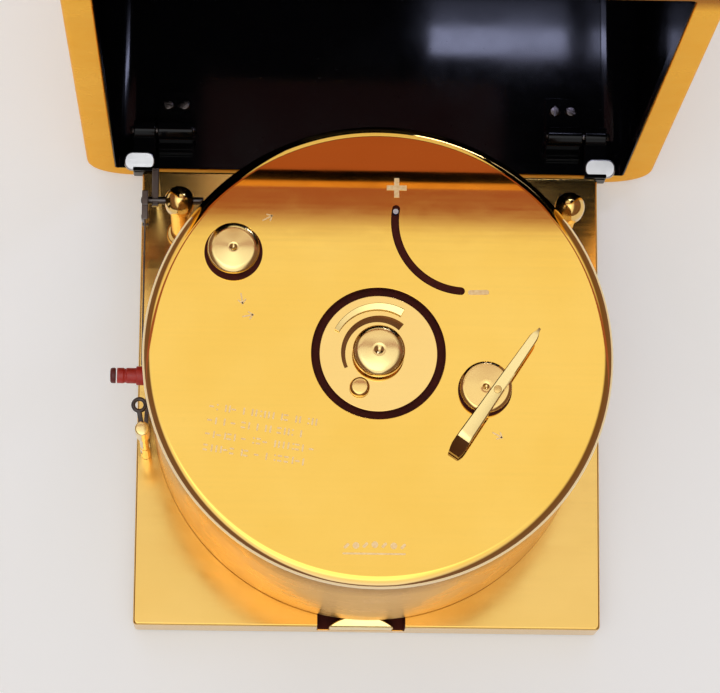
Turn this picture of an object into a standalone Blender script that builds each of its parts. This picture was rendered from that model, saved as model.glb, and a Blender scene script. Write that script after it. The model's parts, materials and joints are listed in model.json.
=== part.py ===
"""A desk barograph: a brass base plate, a clock drum that turns on a fixed spindle, a pen arm worked by
an aneroid stack under the drum, and a deep box cover hinged behind the base.

Metres, +Z up, X to the right, Y to the back. The origin lies on the table, under the drum's axis.
The cover stands open, at right angles to the base."""

import math

import bmesh
import bpy
from mathutils import Matrix, Vector

MM = 0.001
GAP = 0.3 * MM  # between two pieces that touch
SIDES = 32  # of a large round piece
FEW_SIDES = 12  # of a small round piece

# Base
PLATE_WIDTH = 98.5 * MM
PLATE_FRONT = -47.5 * MM
PLATE_BACK = 51.0 * MM
PAD_HEIGHT = 0.6 * MM
PLATE_BOTTOM = PAD_HEIGHT + GAP
PLATE_TOP = 9.8 * MM
PLATE_EDGE = 0.5 * MM

# Drum
DRUM_RADIUS = 46.1 * MM
LIP_RADIUS = 46.8 * MM
LIP_HEIGHT = 2.2 * MM
DRUM_BOTTOM = PLATE_TOP + 0.8 * MM
DRUM_TOP = 64.5 * MM
DRUM_WALL = 0.9 * MM
CAP_THICKNESS = 1.2 * MM
CENTRE_HOLE = 13.3 * MM
HUB_RADIUS = 11.7 * MM
SPINDLE_RADIUS = 2.5 * MM

# Clockwork, between two plates inside the drum
MOVEMENT_RADIUS = 43 * MM
LOWER_PLATE = 38 * MM
UPPER_PLATE = 57 * MM
PLATE_GAUGE = 1.5 * MM
PIVOT_RADIUS = 0.5 * MM
ARBOR_RADIUS = 0.8 * MM
MODULE = 0.75 * MM  # of every gear: its pitch diameter is this times its teeth
SUN_TEETH, PLANET_TEETH, BARREL_TEETH = 22, 8, 38
PLANET_WHEEL_TEETH, THIRD_PINION_TEETH = 18, 7
THIRD_WHEEL_TEETH, FOURTH_PINION_TEETH = 18, 7
FOURTH_WHEEL_TEETH, ESCAPE_PINION_TEETH = 18, 7
ESCAPE_TEETH = 15
WINDING_AXIS = Vector((21.1, -7.1, 0)) * MM
BALANCE_AXIS = Vector((17.3, 27.0, 0)) * MM
KNOB_AXIS = Vector((-29.0, 20.1, 0)) * MM
SLOT_RADIUS = 14.2 * MM
SLOT_WIDTH = 1.6 * MM
SLOT_START, SLOT_END = math.radians(170), math.radians(266)

# Pen arm and its linkage
POST_X, POST_Y = 40.5 * MM, 37 * MM
ARM_AXIS_Z = 39 * MM
ARM_X = -47.5 * MM
GATE_Y = 33 * MM
PEN_Y = -0.3 * MM
PEN_Z = 40 * MM
CRANK = 6 * MM
ROD_X = -45.5 * MM
LEVER_PIVOT_REACH = 14 * MM
LEVER_Z = 4.5 * MM
CAPSULE_AXIS = Vector((0, 22, 0)) * MM
CAPSULE_RADIUS = 15 * MM
CAPSULE_HEIGHT = 5.6 * MM
STUD_TOP = PLATE_TOP + 2.7 * MM
STACK_BOTTOM = STUD_TOP + 1.1 * MM  # clear of the stud at the top of its travel
STACK_TOP = STACK_BOTTOM + 3 * CAPSULE_HEIGHT + 2 * GAP
LIFTER_X, LIFTER_Y = -47.2 * MM, -11.2 * MM
LIFTER_LOW = 19.6 * MM  # below the pen at the bottom of its swing

# Cover, open
MOUTH_Y = PLATE_BACK + 1.5 * MM
COVER_BOTTOM = 0.3 * MM
COVER_WIDTH = 122.6 * MM
COVER_HEIGHT = 136.4 * MM
COVER_DEPTH = 77 * MM
COVER_CORNER = 10.5 * MM
COVER_WALL = 1.2 * MM
RIM_WIDTH = 6 * MM
RIM_DEPTH = 2.5 * MM
SHELL_INSET = 0.6 * MM  # of the shell from the rim's outer edge
LINING = 0.5 * MM
HINGE_Z = 8.4 * MM
HINGE_Y = MOUTH_Y + HINGE_Z - COVER_BOTTOM  # so that the closed rim comes down to the same height
KNUCKLE = 2.1 * MM
CATCH_X = -1.2 * MM
CATCH_STEM_Z = 6.8 * MM


def clear_scene():
    for obj in list(bpy.data.objects):
        bpy.data.objects.remove(obj, do_unlink=True)


def material(name, colour, roughness, metallic=1.0, alpha=1.0):
    made = bpy.data.materials.get(name) or bpy.data.materials.new(name)
    made.use_nodes = True
    shader = made.node_tree.nodes["Principled BSDF"]
    shader.inputs["Base Color"].default_value = (*colour, 1)
    shader.inputs["Roughness"].default_value = roughness
    shader.inputs["Metallic"].default_value = metallic
    shader.inputs["Alpha"].default_value = alpha
    made.diffuse_color = (*colour, alpha)
    return made


def polished_brass():
    return material("polished_brass", (0.82, 0.55, 0.16), 0.15)


def brushed_brass():
    return material("brushed_brass", (0.86, 0.57, 0.17), 0.32)


def gilt_brass():
    return material("gilt_brass", (0.90, 0.50, 0.10), 0.28)


def steel():
    return material("steel", (0.56, 0.57, 0.58), 0.28)


def black_lacquer():
    return material("black_lacquer", (0.008, 0.008, 0.01), 0.12, metallic=0)


def red_plastic():
    return material("red_plastic", (0.62, 0.02, 0.02), 0.35, metallic=0)


def black_plastic():
    return material("black_plastic", (0.02, 0.02, 0.02), 0.4, metallic=0)


def glass():
    return material("clear_glass", (0.9, 0.95, 0.95), 0.03, metallic=0, alpha=0.3)


def felt():
    return material("green_felt", (0.02, 0.09, 0.04), 0.95, metallic=0)


# Shapes


def mesh_object(name, bm, finish, location=(0, 0, 0), smooth_above=35):
    bmesh.ops.recalc_face_normals(bm, faces=bm.faces)
    mesh = bpy.data.meshes.new(name)
    bm.to_mesh(mesh)
    bm.free()
    mesh.shade_smooth()
    mesh.set_sharp_from_angle(angle=math.radians(smooth_above))
    obj = bpy.data.objects.new(name, mesh)
    bpy.context.scene.collection.objects.link(obj)
    obj.location = location
    if finish:
        mesh.materials.append(finish)
    return obj


def turned_bmesh(profile, sides):
    """A turned solid from its closed outline of (radius, height) points; radius 0 lies on the axis."""
    bm = bmesh.new()
    rings = []
    for radius, height in profile:
        if radius == 0:
            rings.append([bm.verts.new((0, 0, height))] * sides)
            continue
        turn = [2 * math.pi * i / sides for i in range(sides)]
        rings.append([bm.verts.new((radius * math.cos(a), radius * math.sin(a), height)) for a in turn])
    for ring, after in zip(rings, rings[1:] + rings[:1]):
        for i in range(sides):
            j = (i + 1) % sides
            corners = list(dict.fromkeys((ring[i], ring[j], after[j], after[i])))
            if len(corners) > 2:
                bm.faces.new(corners)
    return bm


def turned(name, profile, finish, location=(0, 0, 0), sides=SIDES):
    return mesh_object(name, turned_bmesh(profile, sides), finish, location)


def disc(name, radius, bottom, top, finish=None, location=(0, 0, 0), sides=SIDES):
    return turned(name, [(0, top), (radius, top), (radius, bottom), (0, bottom)], finish, location, sides)


def ring(name, inner, outer, bottom, top, finish, location=(0, 0, 0), sides=SIDES):
    profile = [(inner, top), (outer, top), (outer, bottom), (inner, bottom)]
    return turned(name, profile, finish, location, sides)


def extruded_bmesh(outline, bottom, top):
    bm = bmesh.new()
    face = bm.faces.new([bm.verts.new((x, y, bottom)) for x, y in outline])
    raised = bmesh.ops.extrude_face_region(bm, geom=[face])["geom"]
    moved = [v for v in raised if isinstance(v, bmesh.types.BMVert)]
    bmesh.ops.translate(bm, vec=(0, 0, top - bottom), verts=moved)
    return bm


def extruded(name, outline, bottom, top, finish=None, location=(0, 0, 0)):
    return mesh_object(name, extruded_bmesh(outline, bottom, top), finish, location)


def box(name, low, high, finish=None, location=(0, 0, 0)):
    outline = [(low[0], low[1]), (high[0], low[1]), (high[0], high[1]), (low[0], high[1])]
    return extruded(name, outline, low[2], high[2], finish, location)


def arc(centre, radius, start, end, steps):
    """Points on an arc, both ends included."""
    turns = [start + (end - start) * i / steps for i in range(steps + 1)]
    return [(centre[0] + radius * math.cos(a), centre[1] + radius * math.sin(a)) for a in turns]


def rounded_rectangle(width, height, corner, steps=6):
    """The outline of a rectangle round the origin, anticlockwise."""
    points = []
    for quarter in range(4):
        x = (width / 2 - corner) * (1, -1, -1, 1)[quarter]
        y = (height / 2 - corner) * (1, 1, -1, -1)[quarter]
        start = quarter * math.pi / 2
        points += arc((x, y), corner, start, start + math.pi / 2, steps)
    return points


def upright(outline, front, back, name, finish=None):
    """An outline in X and Z, extruded along Y from front to back."""
    bm = extruded_bmesh(outline, -back, -front)
    bmesh.ops.rotate(bm, matrix=Matrix.Rotation(math.pi / 2, 3, "X"), verts=bm.verts)
    return mesh_object(name, bm, finish)


def along_x(name, radius, x_from, x_to, y, z, finish=None, sides=FEW_SIDES):
    """A round bar that lies along X."""
    bm = turned_bmesh([(0, x_to), (radius, x_to), (radius, x_from), (0, x_from)], sides)
    bmesh.ops.rotate(bm, matrix=Matrix.Rotation(math.pi / 2, 3, "Y"), verts=bm.verts)
    bmesh.ops.translate(bm, vec=(0, y, z), verts=bm.verts)
    return mesh_object(name, bm, finish)


def band(route, width):
    """The outline of a strip of this width along a route of points."""
    left, right = [], []
    for i, point in enumerate(route):
        before = Vector(route[max(i - 1, 0)])
        after = Vector(route[min(i + 1, len(route) - 1)])
        along = (after - before).normalized()
        across = Vector((-along.y, along.x)) * width / 2
        left.append(tuple(Vector(point) + across))
        right.append(tuple(Vector(point) - across))
    return left + right[::-1]


def gear_outline(teeth, module=MODULE):
    """Straight-flanked teeth a little thinner than the spaces, so that two gears mesh with room to spare."""
    pitch, points = module * teeth / 2, []
    root, tip = pitch - 1.1 * module, pitch + 0.6 * module
    step = 2 * math.pi / teeth
    for tooth in range(teeth):
        for radius, share in ((root, -0.22), (tip, -0.08), (tip, 0.08), (root, 0.22)):
            angle = (tooth + share) * step
            points.append((radius * math.cos(angle), radius * math.sin(angle)))
    return points


# Joining, cutting and placing


def apply_boolean(obj, other, operation):
    other.hide_render = True
    other.display_type = "WIRE"
    modifier = obj.modifiers.new(other.name, "BOOLEAN")
    modifier.operation = operation
    modifier.object = other
    modifier.solver = "EXACT"


def cut(obj, *cutters):
    for cutter in cutters:
        apply_boolean(obj, cutter, "DIFFERENCE")
    return obj


def join(obj, *others):
    for other in others:
        apply_boolean(obj, other, "UNION")
    return obj


def round_edges(obj, width, segments=2, angle=40):
    modifier = obj.modifiers.new("rounded edges", "BEVEL")
    modifier.width = width
    modifier.segments = segments
    modifier.limit_method = "ANGLE"
    modifier.angle_limit = math.radians(angle)
    return obj


def joint_axis(name, location, parent=None):
    """An empty on a moving body's axis."""
    empty = bpy.data.objects.new(name, None)
    empty.empty_display_size = 0.01
    bpy.context.scene.collection.objects.link(empty)
    empty.location = location
    if parent:
        hang(parent, empty)
    return empty


def hang(parent, *pieces):
    """Parents pieces and leaves them where they are."""
    bpy.context.view_layer.update()
    for piece in pieces:
        piece.parent = parent
        piece.matrix_parent_inverse = parent.matrix_world.inverted()


# Base


def base_pad():
    outline = rounded_rectangle(PLATE_WIDTH - 3 * MM, PLATE_BACK - PLATE_FRONT - 3 * MM, 2 * MM, 3)
    return extruded("base_pad", outline, 0, PAD_HEIGHT, felt(), (0, (PLATE_BACK + PLATE_FRONT) / 2, 0))


def lever_direction():
    return (Vector((ROD_X, POST_Y + CRANK, 0)) - CAPSULE_AXIS).normalized()


def base_plate():
    half = PLATE_WIDTH / 2
    low, high = (-half, PLATE_FRONT, PLATE_BOTTOM), (half, PLATE_BACK, PLATE_TOP)
    plate = round_edges(box("base_plate", low, high, polished_brass()), PLATE_EDGE)
    recess = box(
        "catch_recess",
        (CATCH_X - 9.3 * MM, PLATE_FRONT - 2 * MM, PLATE_BOTTOM + 3.2 * MM),
        (CATCH_X + 9.3 * MM, PLATE_FRONT + 4.4 * MM, PLATE_TOP + 2 * MM),
    )
    spring_bore = along_x("spring_bore", 1.6 * MM, -7.6 * MM, 0, 0, 0)
    spring_bore.rotation_euler.z = math.radians(-90)
    spring_bore.location = (CATCH_X, PLATE_FRONT + 4 * MM, CATCH_STEM_Z)
    rod_place = (ROD_X, POST_Y + CRANK, 0)
    rod_hole = disc("rod_hole", 1.2 * MM, 0, PLATE_TOP + 2 * MM, None, rod_place, FEW_SIDES)
    stud_hole = disc("stud_hole", 2.4 * MM, 0, PLATE_TOP + 2 * MM, None, CAPSULE_AXIS, FEW_SIDES)
    start = CAPSULE_AXIS.xy - lever_direction().xy * 4 * MM
    end = Vector((ROD_X, POST_Y + CRANK)) + lever_direction().xy * 2.2 * MM
    channel = extruded("lever_channel", band([start, end], 6 * MM), -2 * MM, 8.2 * MM)
    return cut(plate, recess, spring_bore, rod_hole, stud_hole, channel)


def front_catch():
    """A push plate with a round back, which stands in the recess at the front."""
    half, radius = 6.75 * MM, 10.4 * MM
    spread = math.asin(half / radius)
    centre = (0, -radius * math.cos(spread))
    back = arc(centre, radius, math.pi / 2 - spread, math.pi / 2 + spread, 14)
    outline = [(half, -0.3 * MM)] + back + [(-half, -0.3 * MM)]
    place = (CATCH_X, PLATE_FRONT + 0.3 * MM, 0)
    catch = extruded("front_catch", outline, 4.5 * MM, 9.3 * MM, polished_brass(), place)
    stem = along_x("catch_stem", 0.9 * MM, -3.6 * MM, 0, 0, 0)
    stem.rotation_euler.z = math.radians(-90)
    stem.location = (CATCH_X, PLATE_FRONT + 2.0 * MM, CATCH_STEM_Z)
    return join(catch, stem)


def catch_spring():
    turns, steps, radius, length = 4, 8, 1.0 * MM, 3.2 * MM
    curve = bpy.data.curves.new("catch_spring", "CURVE")
    curve.dimensions = "3D"
    curve.bevel_depth = 0.2 * MM
    curve.bevel_resolution = 0
    curve.use_fill_caps = True
    spline = curve.splines.new("POLY")
    count = turns * steps + 1
    spline.points.add(count - 1)
    for i in range(count):
        angle = 2 * math.pi * i / steps
        y = length * i / (count - 1)
        spline.points[i].co = (radius * math.cos(angle), y, radius * math.sin(angle), 1)
    obj = bpy.data.objects.new("catch_spring", curve)
    bpy.context.scene.collection.objects.link(obj)
    obj.location = (CATCH_X, PLATE_FRONT + 7.2 * MM, CATCH_STEM_Z)
    curve.materials.append(steel())
    return obj


def spindle():
    low = PLATE_TOP + GAP
    profile = [
        (0, 66.4 * MM),
        (SPINDLE_RADIUS - 0.6 * MM, 66.4 * MM),
        (SPINDLE_RADIUS - 0.6 * MM, 64.6 * MM),
        (SPINDLE_RADIUS, 64.6 * MM),
        (SPINDLE_RADIUS, low + 3 * MM),
        (SPINDLE_RADIUS + 1.5 * MM, low + 1.6 * MM),
        (7 * MM, low + 1.6 * MM),
        (7 * MM, low),
        (0, low),
    ]
    return turned("spindle", profile, steel(), sides=20)


def spindle_nut():
    """A domed nut with a dimple, on the spindle's thin end."""
    bore, bottom = SPINDLE_RADIUS - 0.6 * MM + GAP, 65.6 * MM
    profile = [
        (0, 68.1 * MM),
        (1.0 * MM, 68.4 * MM),
        (3.4 * MM, 68.3 * MM),
        (4.6 * MM, 67.8 * MM),
        (5.2 * MM, 66.9 * MM),
        (5.2 * MM, bottom),
        (bore, bottom),
        (bore, 66.7 * MM),
        (0, 66.7 * MM),
    ]
    return turned("spindle_nut", profile, polished_brass(), sides=20)


def sun_gear():
    gear = extruded("sun_gear", gear_outline(SUN_TEETH), 35.2 * MM, 37.2 * MM, brushed_brass())
    gear.rotation_euler.z = facing_tooth(planet_axis())
    bore = disc("sun_bore", SPINDLE_RADIUS + GAP, 30 * MM, 40 * MM, sides=20)
    return cut(gear, bore)


def capsules():
    """Three corrugated vacuum capsules, one on another, over the stud that works the lever."""
    made = []
    for i in range(3):
        bottom = STACK_BOTTOM + i * (CAPSULE_HEIGHT + GAP)
        top, middle = bottom + CAPSULE_HEIGHT, bottom + CAPSULE_HEIGHT / 2
        outer = [
            (0, top),
            (2.5 * MM, top),
            (2.5 * MM, middle + 1.2 * MM),
            (7 * MM, middle + 1.2 * MM),
            (9 * MM, middle + 1.9 * MM),
            (11 * MM, middle + 1.2 * MM),
            (CAPSULE_RADIUS, middle + 0.4 * MM),
        ]
        mirrored = [(r, 2 * middle - z) for r, z in reversed(outer)]
        made.append(turned(f"capsule_{i + 1}", outer + mirrored, steel(), CAPSULE_AXIS, 20))
    return made


def capsule_bridge():
    """The strap that holds the capsules down from above, on two legs."""
    inner, outer, half = CAPSULE_RADIUS + 1.5 * MM, CAPSULE_RADIUS + 4 * MM, 4 * MM
    low, under, high = PLATE_TOP + GAP, STACK_TOP + GAP, STACK_TOP + 2.3 * MM
    outline = [(-outer, low), (-inner, low), (-inner, under), (inner, under), (inner, low), (outer, low)]
    outline += [(outer, high), (-outer, high)]
    middle = CAPSULE_AXIS.y
    return upright(outline, middle - half, middle + half, "capsule_bridge", polished_brass())


def capsule_stud():
    profile = [
        (0, STUD_TOP),
        (4 * MM, STUD_TOP),
        (4 * MM, STUD_TOP - 1.2 * MM),
        (1.5 * MM, STUD_TOP - 1.2 * MM),
        (1.5 * MM, LEVER_Z + 1.3 * MM),
        (0, LEVER_Z + 1.3 * MM),
    ]
    return turned("capsule_stud", profile, steel(), CAPSULE_AXIS, FEW_SIDES)


def transfer_lever():
    """The long lever in the channel under the base plate, on its pivot pin."""
    along = lever_direction()
    pivot = CAPSULE_AXIS + along * LEVER_PIVOT_REACH
    length = (Vector((ROD_X, POST_Y + CRANK, 0)) - pivot).length
    low, high = (-LEVER_PIVOT_REACH - 1 * MM, -1.3 * MM, -0.7 * MM), (length + 0.8 * MM, 1.3 * MM, 0.7 * MM)
    lever = box("transfer_lever", low, high, steel())
    pin = along_x("lever_pin", 1.1 * MM, -2.7 * MM, 2.7 * MM, 0, 0)
    pin.rotation_euler.z = math.pi / 2
    joined = join(lever, pin)
    turn = math.atan2(along.y, along.x)
    for piece in (lever, pin):
        piece.location = (pivot.x, pivot.y, LEVER_Z)
        piece.rotation_euler.z += turn
    return joined


def lift_rod():
    """The push rod between the lever and the crank of the pen arm's arbor."""
    low, high = LEVER_Z + 1.1 * MM, ARM_AXIS_Z - 1.2 * MM
    place = (ROD_X, POST_Y + CRANK, 0)
    return disc("lift_rod", 0.6 * MM, low, high, steel(), place, 12)


def rear_post(name, x, bored):
    """A turned post with a round top, behind the drum."""
    low, head = PLATE_TOP + GAP, ARM_AXIS_Z
    radius = 3.1 * MM
    dome = [(radius * math.cos(a), head + radius * math.sin(a)) for a in (0.3, 0.7, 1.1, 1.4)]
    profile = [(0, head + radius)] + dome[::-1]
    profile += [
        (radius, head - 2.6 * MM),
        (2.1 * MM, head - 3.6 * MM),
        (2.1 * MM, low + 2.4 * MM),
        (4.2 * MM, low + 1.4 * MM),
        (4.2 * MM, low),
        (0, low),
    ]
    post = turned(name, profile, polished_brass(), (x, POST_Y, 0), 16)
    if bored:
        cut(post, along_x(name + "_bore", 1.1 * MM, x - 6 * MM, x + 6 * MM, POST_Y, head))
    return post


# Pen arm


def arm_arbor():
    """The horizontal arbor in the left rear post, its crank, and the fork that carries the gate."""
    x_from, x_to = ARM_X - 1.2 * MM, -POST_X + 5 * MM
    arbor = along_x("arm_arbor", 0.8 * MM, x_from, x_to, POST_Y, ARM_AXIS_Z, steel())
    crank = box(
        "crank",
        (ROD_X - 0.8 * MM, POST_Y - 1.5 * MM, ARM_AXIS_Z - 0.8 * MM),
        (ROD_X + 0.8 * MM, POST_Y + CRANK + 1 * MM, ARM_AXIS_Z + 0.8 * MM),
    )
    fork = box(
        "fork",
        (ARM_X - 1.0 * MM, GATE_Y - 1.2 * MM, ARM_AXIS_Z - 2.6 * MM),
        (ARM_X + 1.0 * MM, POST_Y + 1.4 * MM, ARM_AXIS_Z + 4.0 * MM),
    )
    mouth = box(
        "fork_mouth",
        (ARM_X - 2 * MM, GATE_Y - 3 * MM, ARM_AXIS_Z - 1.4 * MM),
        (ARM_X + 2 * MM, GATE_Y + 1.8 * MM, ARM_AXIS_Z + 2.8 * MM),
    )
    return join(arbor, crank, cut(fork, mouth))


def pen_arm():
    """The thin blade, on a gate tube at its back, with the clip that holds the pen."""
    low, high = ARM_AXIS_Z - 1.0 * MM, ARM_AXIS_Z + 2.4 * MM
    gate = disc("pen_arm", 0.9 * MM, low, high, steel(), (ARM_X, GATE_Y, 0), 16)
    blade = box(
        "blade",
        (ARM_X - 0.25 * MM, PEN_Y + 2.2 * MM, ARM_AXIS_Z - 0.4 * MM),
        (ARM_X + 0.25 * MM, GATE_Y, ARM_AXIS_Z + 2.0 * MM),
    )
    clip = along_x("clip", 2.6 * MM, ARM_X - 1.1 * MM, ARM_X + 0.5 * MM, PEN_Y, PEN_Z)
    pen_hole = along_x("pen_hole", 1.9 * MM, ARM_X - 3 * MM, ARM_X + 3 * MM, PEN_Y, PEN_Z)
    return cut(join(gate, blade, clip), pen_hole)


def pen():
    """A fibre-tipped cartridge that lies across the arm, its tip close to the drum."""
    outer, tip = -53.9 * MM, -DRUM_RADIUS - 0.4 * MM
    profile = [
        (0, tip),
        (0.3 * MM, tip - 0.1 * MM),
        (0.5 * MM, tip - 0.8 * MM),
        (1.5 * MM, tip - 1.4 * MM),
        (1.6 * MM, tip - 1.8 * MM),
        (1.6 * MM, outer + 1.4 * MM),
        (0, outer + 1.4 * MM),
    ]
    bm = turned_bmesh(profile, FEW_SIDES)
    bmesh.ops.rotate(bm, matrix=Matrix.Rotation(math.pi / 2, 3, "Y"), verts=bm.verts)
    bmesh.ops.translate(bm, vec=(0, PEN_Y, PEN_Z), verts=bm.verts)
    return mesh_object("pen", bm, red_plastic())


def pen_plug():
    outer = -53.9 * MM
    return along_x("pen_plug", 1.6 * MM, outer, outer + 1.1 * MM, PEN_Y, PEN_Z, black_plastic())


def lifter_post():
    low, high = PLATE_TOP + GAP, LIFTER_LOW - 0.4 * MM
    return disc("lifter_post", 1.1 * MM, low, high, polished_brass(), (LIFTER_X, LIFTER_Y, 0), FEW_SIDES)


def pen_lifter():
    """A tube on the lifter post, with a finger loop, and a low arm whose pin pushes the pen arm off the drum."""
    hub = disc("pen_lifter", 1.5 * MM, LIFTER_LOW, 40 * MM, steel(), (LIFTER_X, LIFTER_Y, 0), FEW_SIDES)
    tip, axis = (-46.45 * MM, 6.5 * MM), (LIFTER_X, LIFTER_Y)
    arm = extruded("lifter_arm", band([axis, tip], 0.9 * MM), LIFTER_LOW, LIFTER_LOW + 1.4 * MM)
    pin = disc("lifter_pin", 0.45 * MM, LIFTER_LOW, 52 * MM, None, (*tip, 0), 12)
    loop_low, loop_high = 34.8 * MM, 36.2 * MM
    loop_at = (LIFTER_X - 0.8 * MM, -5.5 * MM)
    loop = ring("lifter_loop", 0.8 * MM, 1.7 * MM, loop_low, loop_high, None, (*loop_at, 0), FEW_SIDES)
    route = [axis, (loop_at[0], loop_at[1] - 1.2 * MM)]
    stalk = extruded("loop_stalk", band(route, 1.3 * MM), loop_low, loop_high)
    return join(hub, arm, pin, stalk, loop)


# Drum


def drum_shell():
    inner, under = DRUM_RADIUS - DRUM_WALL, DRUM_TOP - CAP_THICKNESS
    curl = 0.7 * MM
    profile = [
        (CENTRE_HOLE, DRUM_TOP),
        (LIP_RADIUS - curl, DRUM_TOP),
        (LIP_RADIUS - 0.3 * curl, DRUM_TOP - 0.3 * curl),
        (LIP_RADIUS, DRUM_TOP - curl),
        (LIP_RADIUS, DRUM_TOP - LIP_HEIGHT + 0.3 * MM),
        (DRUM_RADIUS, DRUM_TOP - LIP_HEIGHT),
        (DRUM_RADIUS, DRUM_BOTTOM),
        (inner, DRUM_BOTTOM),
        (inner, under),
        (CENTRE_HOLE, under),
    ]
    shell = turned("drum_shell", profile, brushed_brass(), sides=64)
    low, high = under - 1 * MM, DRUM_TOP + 1 * MM
    route = arc(BALANCE_AXIS, SLOT_RADIUS, SLOT_START, SLOT_END, 20)
    slot = extruded("regulator_slot", band(route, SLOT_WIDTH), low, high)
    knob_hole = disc("knob_hole", 1.9 * MM, low, high, None, KNOB_AXIS, FEW_SIDES)
    winding_hole = disc("winding_hole", 2.1 * MM, low, high, None, WINDING_AXIS, FEW_SIDES)
    return cut(shell, slot, knob_hole, winding_hole)


def drum_hub():
    """The sleeve that runs on the spindle, with the disc that shows inside the cap's centre hole."""
    bore = SPINDLE_RADIUS + GAP
    profile = [
        (bore, 64.2 * MM),
        (10.4 * MM, 64.2 * MM),
        (HUB_RADIUS, 63.8 * MM),
        (HUB_RADIUS, 62.6 * MM),
        (6 * MM, 61.4 * MM),
        (6 * MM, UPPER_PLATE + PLATE_GAUGE + GAP),
        (3.5 * MM, UPPER_PLATE + PLATE_GAUGE + GAP),
        (3.5 * MM, LOWER_PLATE - 0.4 * MM),
        (bore, LOWER_PLATE - 0.4 * MM),
    ]
    return turned("drum_hub", profile, polished_brass())


def hub_spring():
    """A curved leaf spring on the hub disc."""
    route = arc((0, 0), 9.4 * MM, math.radians(60), math.radians(152), 12)
    return extruded("hub_spring", band(route, 1.6 * MM), 64.5 * MM, 65.2 * MM, steel())


def time_lever():
    """The small lever round the spindle, with a round end."""
    low, high = 64.5 * MM, 65.3 * MM
    collar = disc("time_lever", 6.0 * MM, low, high - 0.6 * MM, brushed_brass(), (0, 0, 0), 20)
    end = Vector((-3.7, -7.0, 0)) * MM
    arm = extruded("time_lever_arm", band([(0, 0), end.xy], 2.0 * MM), low, high)
    pad = disc("time_lever_pad", 2.0 * MM, low, 66.1 * MM, None, end, FEW_SIDES)
    bore = disc("time_lever_bore", SPINDLE_RADIUS + GAP, low - 2 * MM, high + 2 * MM, sides=20)
    return cut(join(collar, arm, pad), bore)


def set_knob():
    """A turned knob with a dimple, its stem through the cap."""
    seat, top = DRUM_TOP + 0.4 * MM, DRUM_TOP + 4.6 * MM
    profile = [
        (0, top - 0.5 * MM),
        (0.7 * MM, top - 0.1 * MM),
        (3.9 * MM, top),
        (4.8 * MM, top - 0.4 * MM),
        (5.2 * MM, top - 1.2 * MM),
        (5.2 * MM, seat + 0.6 * MM),
        (4.8 * MM, seat),
        (1.5 * MM, seat),
        (1.5 * MM, DRUM_TOP - CAP_THICKNESS - 4 * MM),
        (0, DRUM_TOP - CAP_THICKNESS - 4 * MM),
    ]
    return turned("set_knob", profile, polished_brass(), KNOB_AXIS, 24)


def winding_hub():
    seat, top = DRUM_TOP + 0.4 * MM, DRUM_TOP + 3.6 * MM
    profile = [
        (0, top),
        (4.4 * MM, top),
        (5.2 * MM, top - 0.8 * MM),
        (5.2 * MM, seat),
        (1.7 * MM, seat),
        (1.7 * MM, 61.0 * MM),
        (0, 61.0 * MM),
    ]
    return turned("winding_hub", profile, polished_brass(), WINDING_AXIS, 24)


def key_bar():
    """The flat bar of the key, thinner towards one end, pinned to the hub beside its middle."""
    long_way = math.radians(56)
    before, after, offset = -14.8 * MM, 15.4 * MM, -2.3 * MM
    wide, narrow = 3.2 * MM, 1.9 * MM
    low = DRUM_TOP + 3.6 * MM + GAP
    outline = [
        (before, offset - wide / 2 + 0.6 * MM),
        (before + 1.2 * MM, offset - wide / 2),
        (after - 0.6 * MM, offset - narrow / 2),
        (after, offset - narrow / 4),
        (after, offset + narrow / 4),
        (after - 0.6 * MM, offset + narrow / 2),
        (before + 1.2 * MM, offset + wide / 2),
        (before, offset + wide / 2 - 0.6 * MM),
    ]
    bar = extruded("key_bar", outline, low, low + 1.8 * MM, polished_brass(), WINDING_AXIS)
    bar.rotation_euler.z = long_way
    return round_edges(bar, 0.3 * MM)


# Clockwork


def planet_axis():
    """Where a pinion meshes with both the sun gear and the barrel's teeth."""
    near = MODULE * (SUN_TEETH + PLANET_TEETH) / 2
    far = MODULE * (BARREL_TEETH + PLANET_TEETH) / 2
    span = WINDING_AXIS.length
    along = (near**2 - far**2 + span**2) / (2 * span)
    across = math.sqrt(near**2 - along**2)
    to_barrel = WINDING_AXIS.normalized()
    return to_barrel * along + Vector((to_barrel.y, -to_barrel.x, 0)) * across


def next_axis(start, wheel_teeth, pinion_teeth, degrees):
    reach = MODULE * (wheel_teeth + pinion_teeth) / 2
    angle = math.radians(degrees)
    return start + Vector((math.cos(angle), math.sin(angle), 0)) * reach


def train_axes():
    planet = planet_axis()
    third = next_axis(planet, PLANET_WHEEL_TEETH, THIRD_PINION_TEETH, 195)
    fourth = next_axis(third, THIRD_WHEEL_TEETH, FOURTH_PINION_TEETH, 140)
    escape = next_axis(fourth, FOURTH_WHEEL_TEETH, ESCAPE_PINION_TEETH, 88)
    pallet = escape + Vector((5.5, 7.8, 0)) * MM
    return planet, third, fourth, escape, pallet


def arbor(name, place, low, high, finish=None):
    """A thin shaft with a thinner pivot at each end, in the two plates."""
    profile = [
        (0, high),
        (PIVOT_RADIUS, high),
        (PIVOT_RADIUS, UPPER_PLATE - 0.4 * MM),
        (ARBOR_RADIUS, UPPER_PLATE - 0.4 * MM),
        (ARBOR_RADIUS, LOWER_PLATE + PLATE_GAUGE + 0.4 * MM),
        (PIVOT_RADIUS, LOWER_PLATE + PLATE_GAUGE + 0.4 * MM),
        (PIVOT_RADIUS, low),
        (0, low),
    ]
    return turned(name, profile, finish, place, 10)


def wheel_on(name, place, teeth, low, high, mesh_phase=0.0):
    gear = extruded(name, gear_outline(teeth), low, high, None, place)
    gear.rotation_euler.z = mesh_phase
    return gear


def facing_gap(teeth, towards):
    """The turn that puts a tooth space, not a tooth, on the line towards the other gear."""
    return math.atan2(towards.y, towards.x) + math.pi / teeth


def facing_tooth(towards):
    return math.atan2(towards.y, towards.x)


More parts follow.
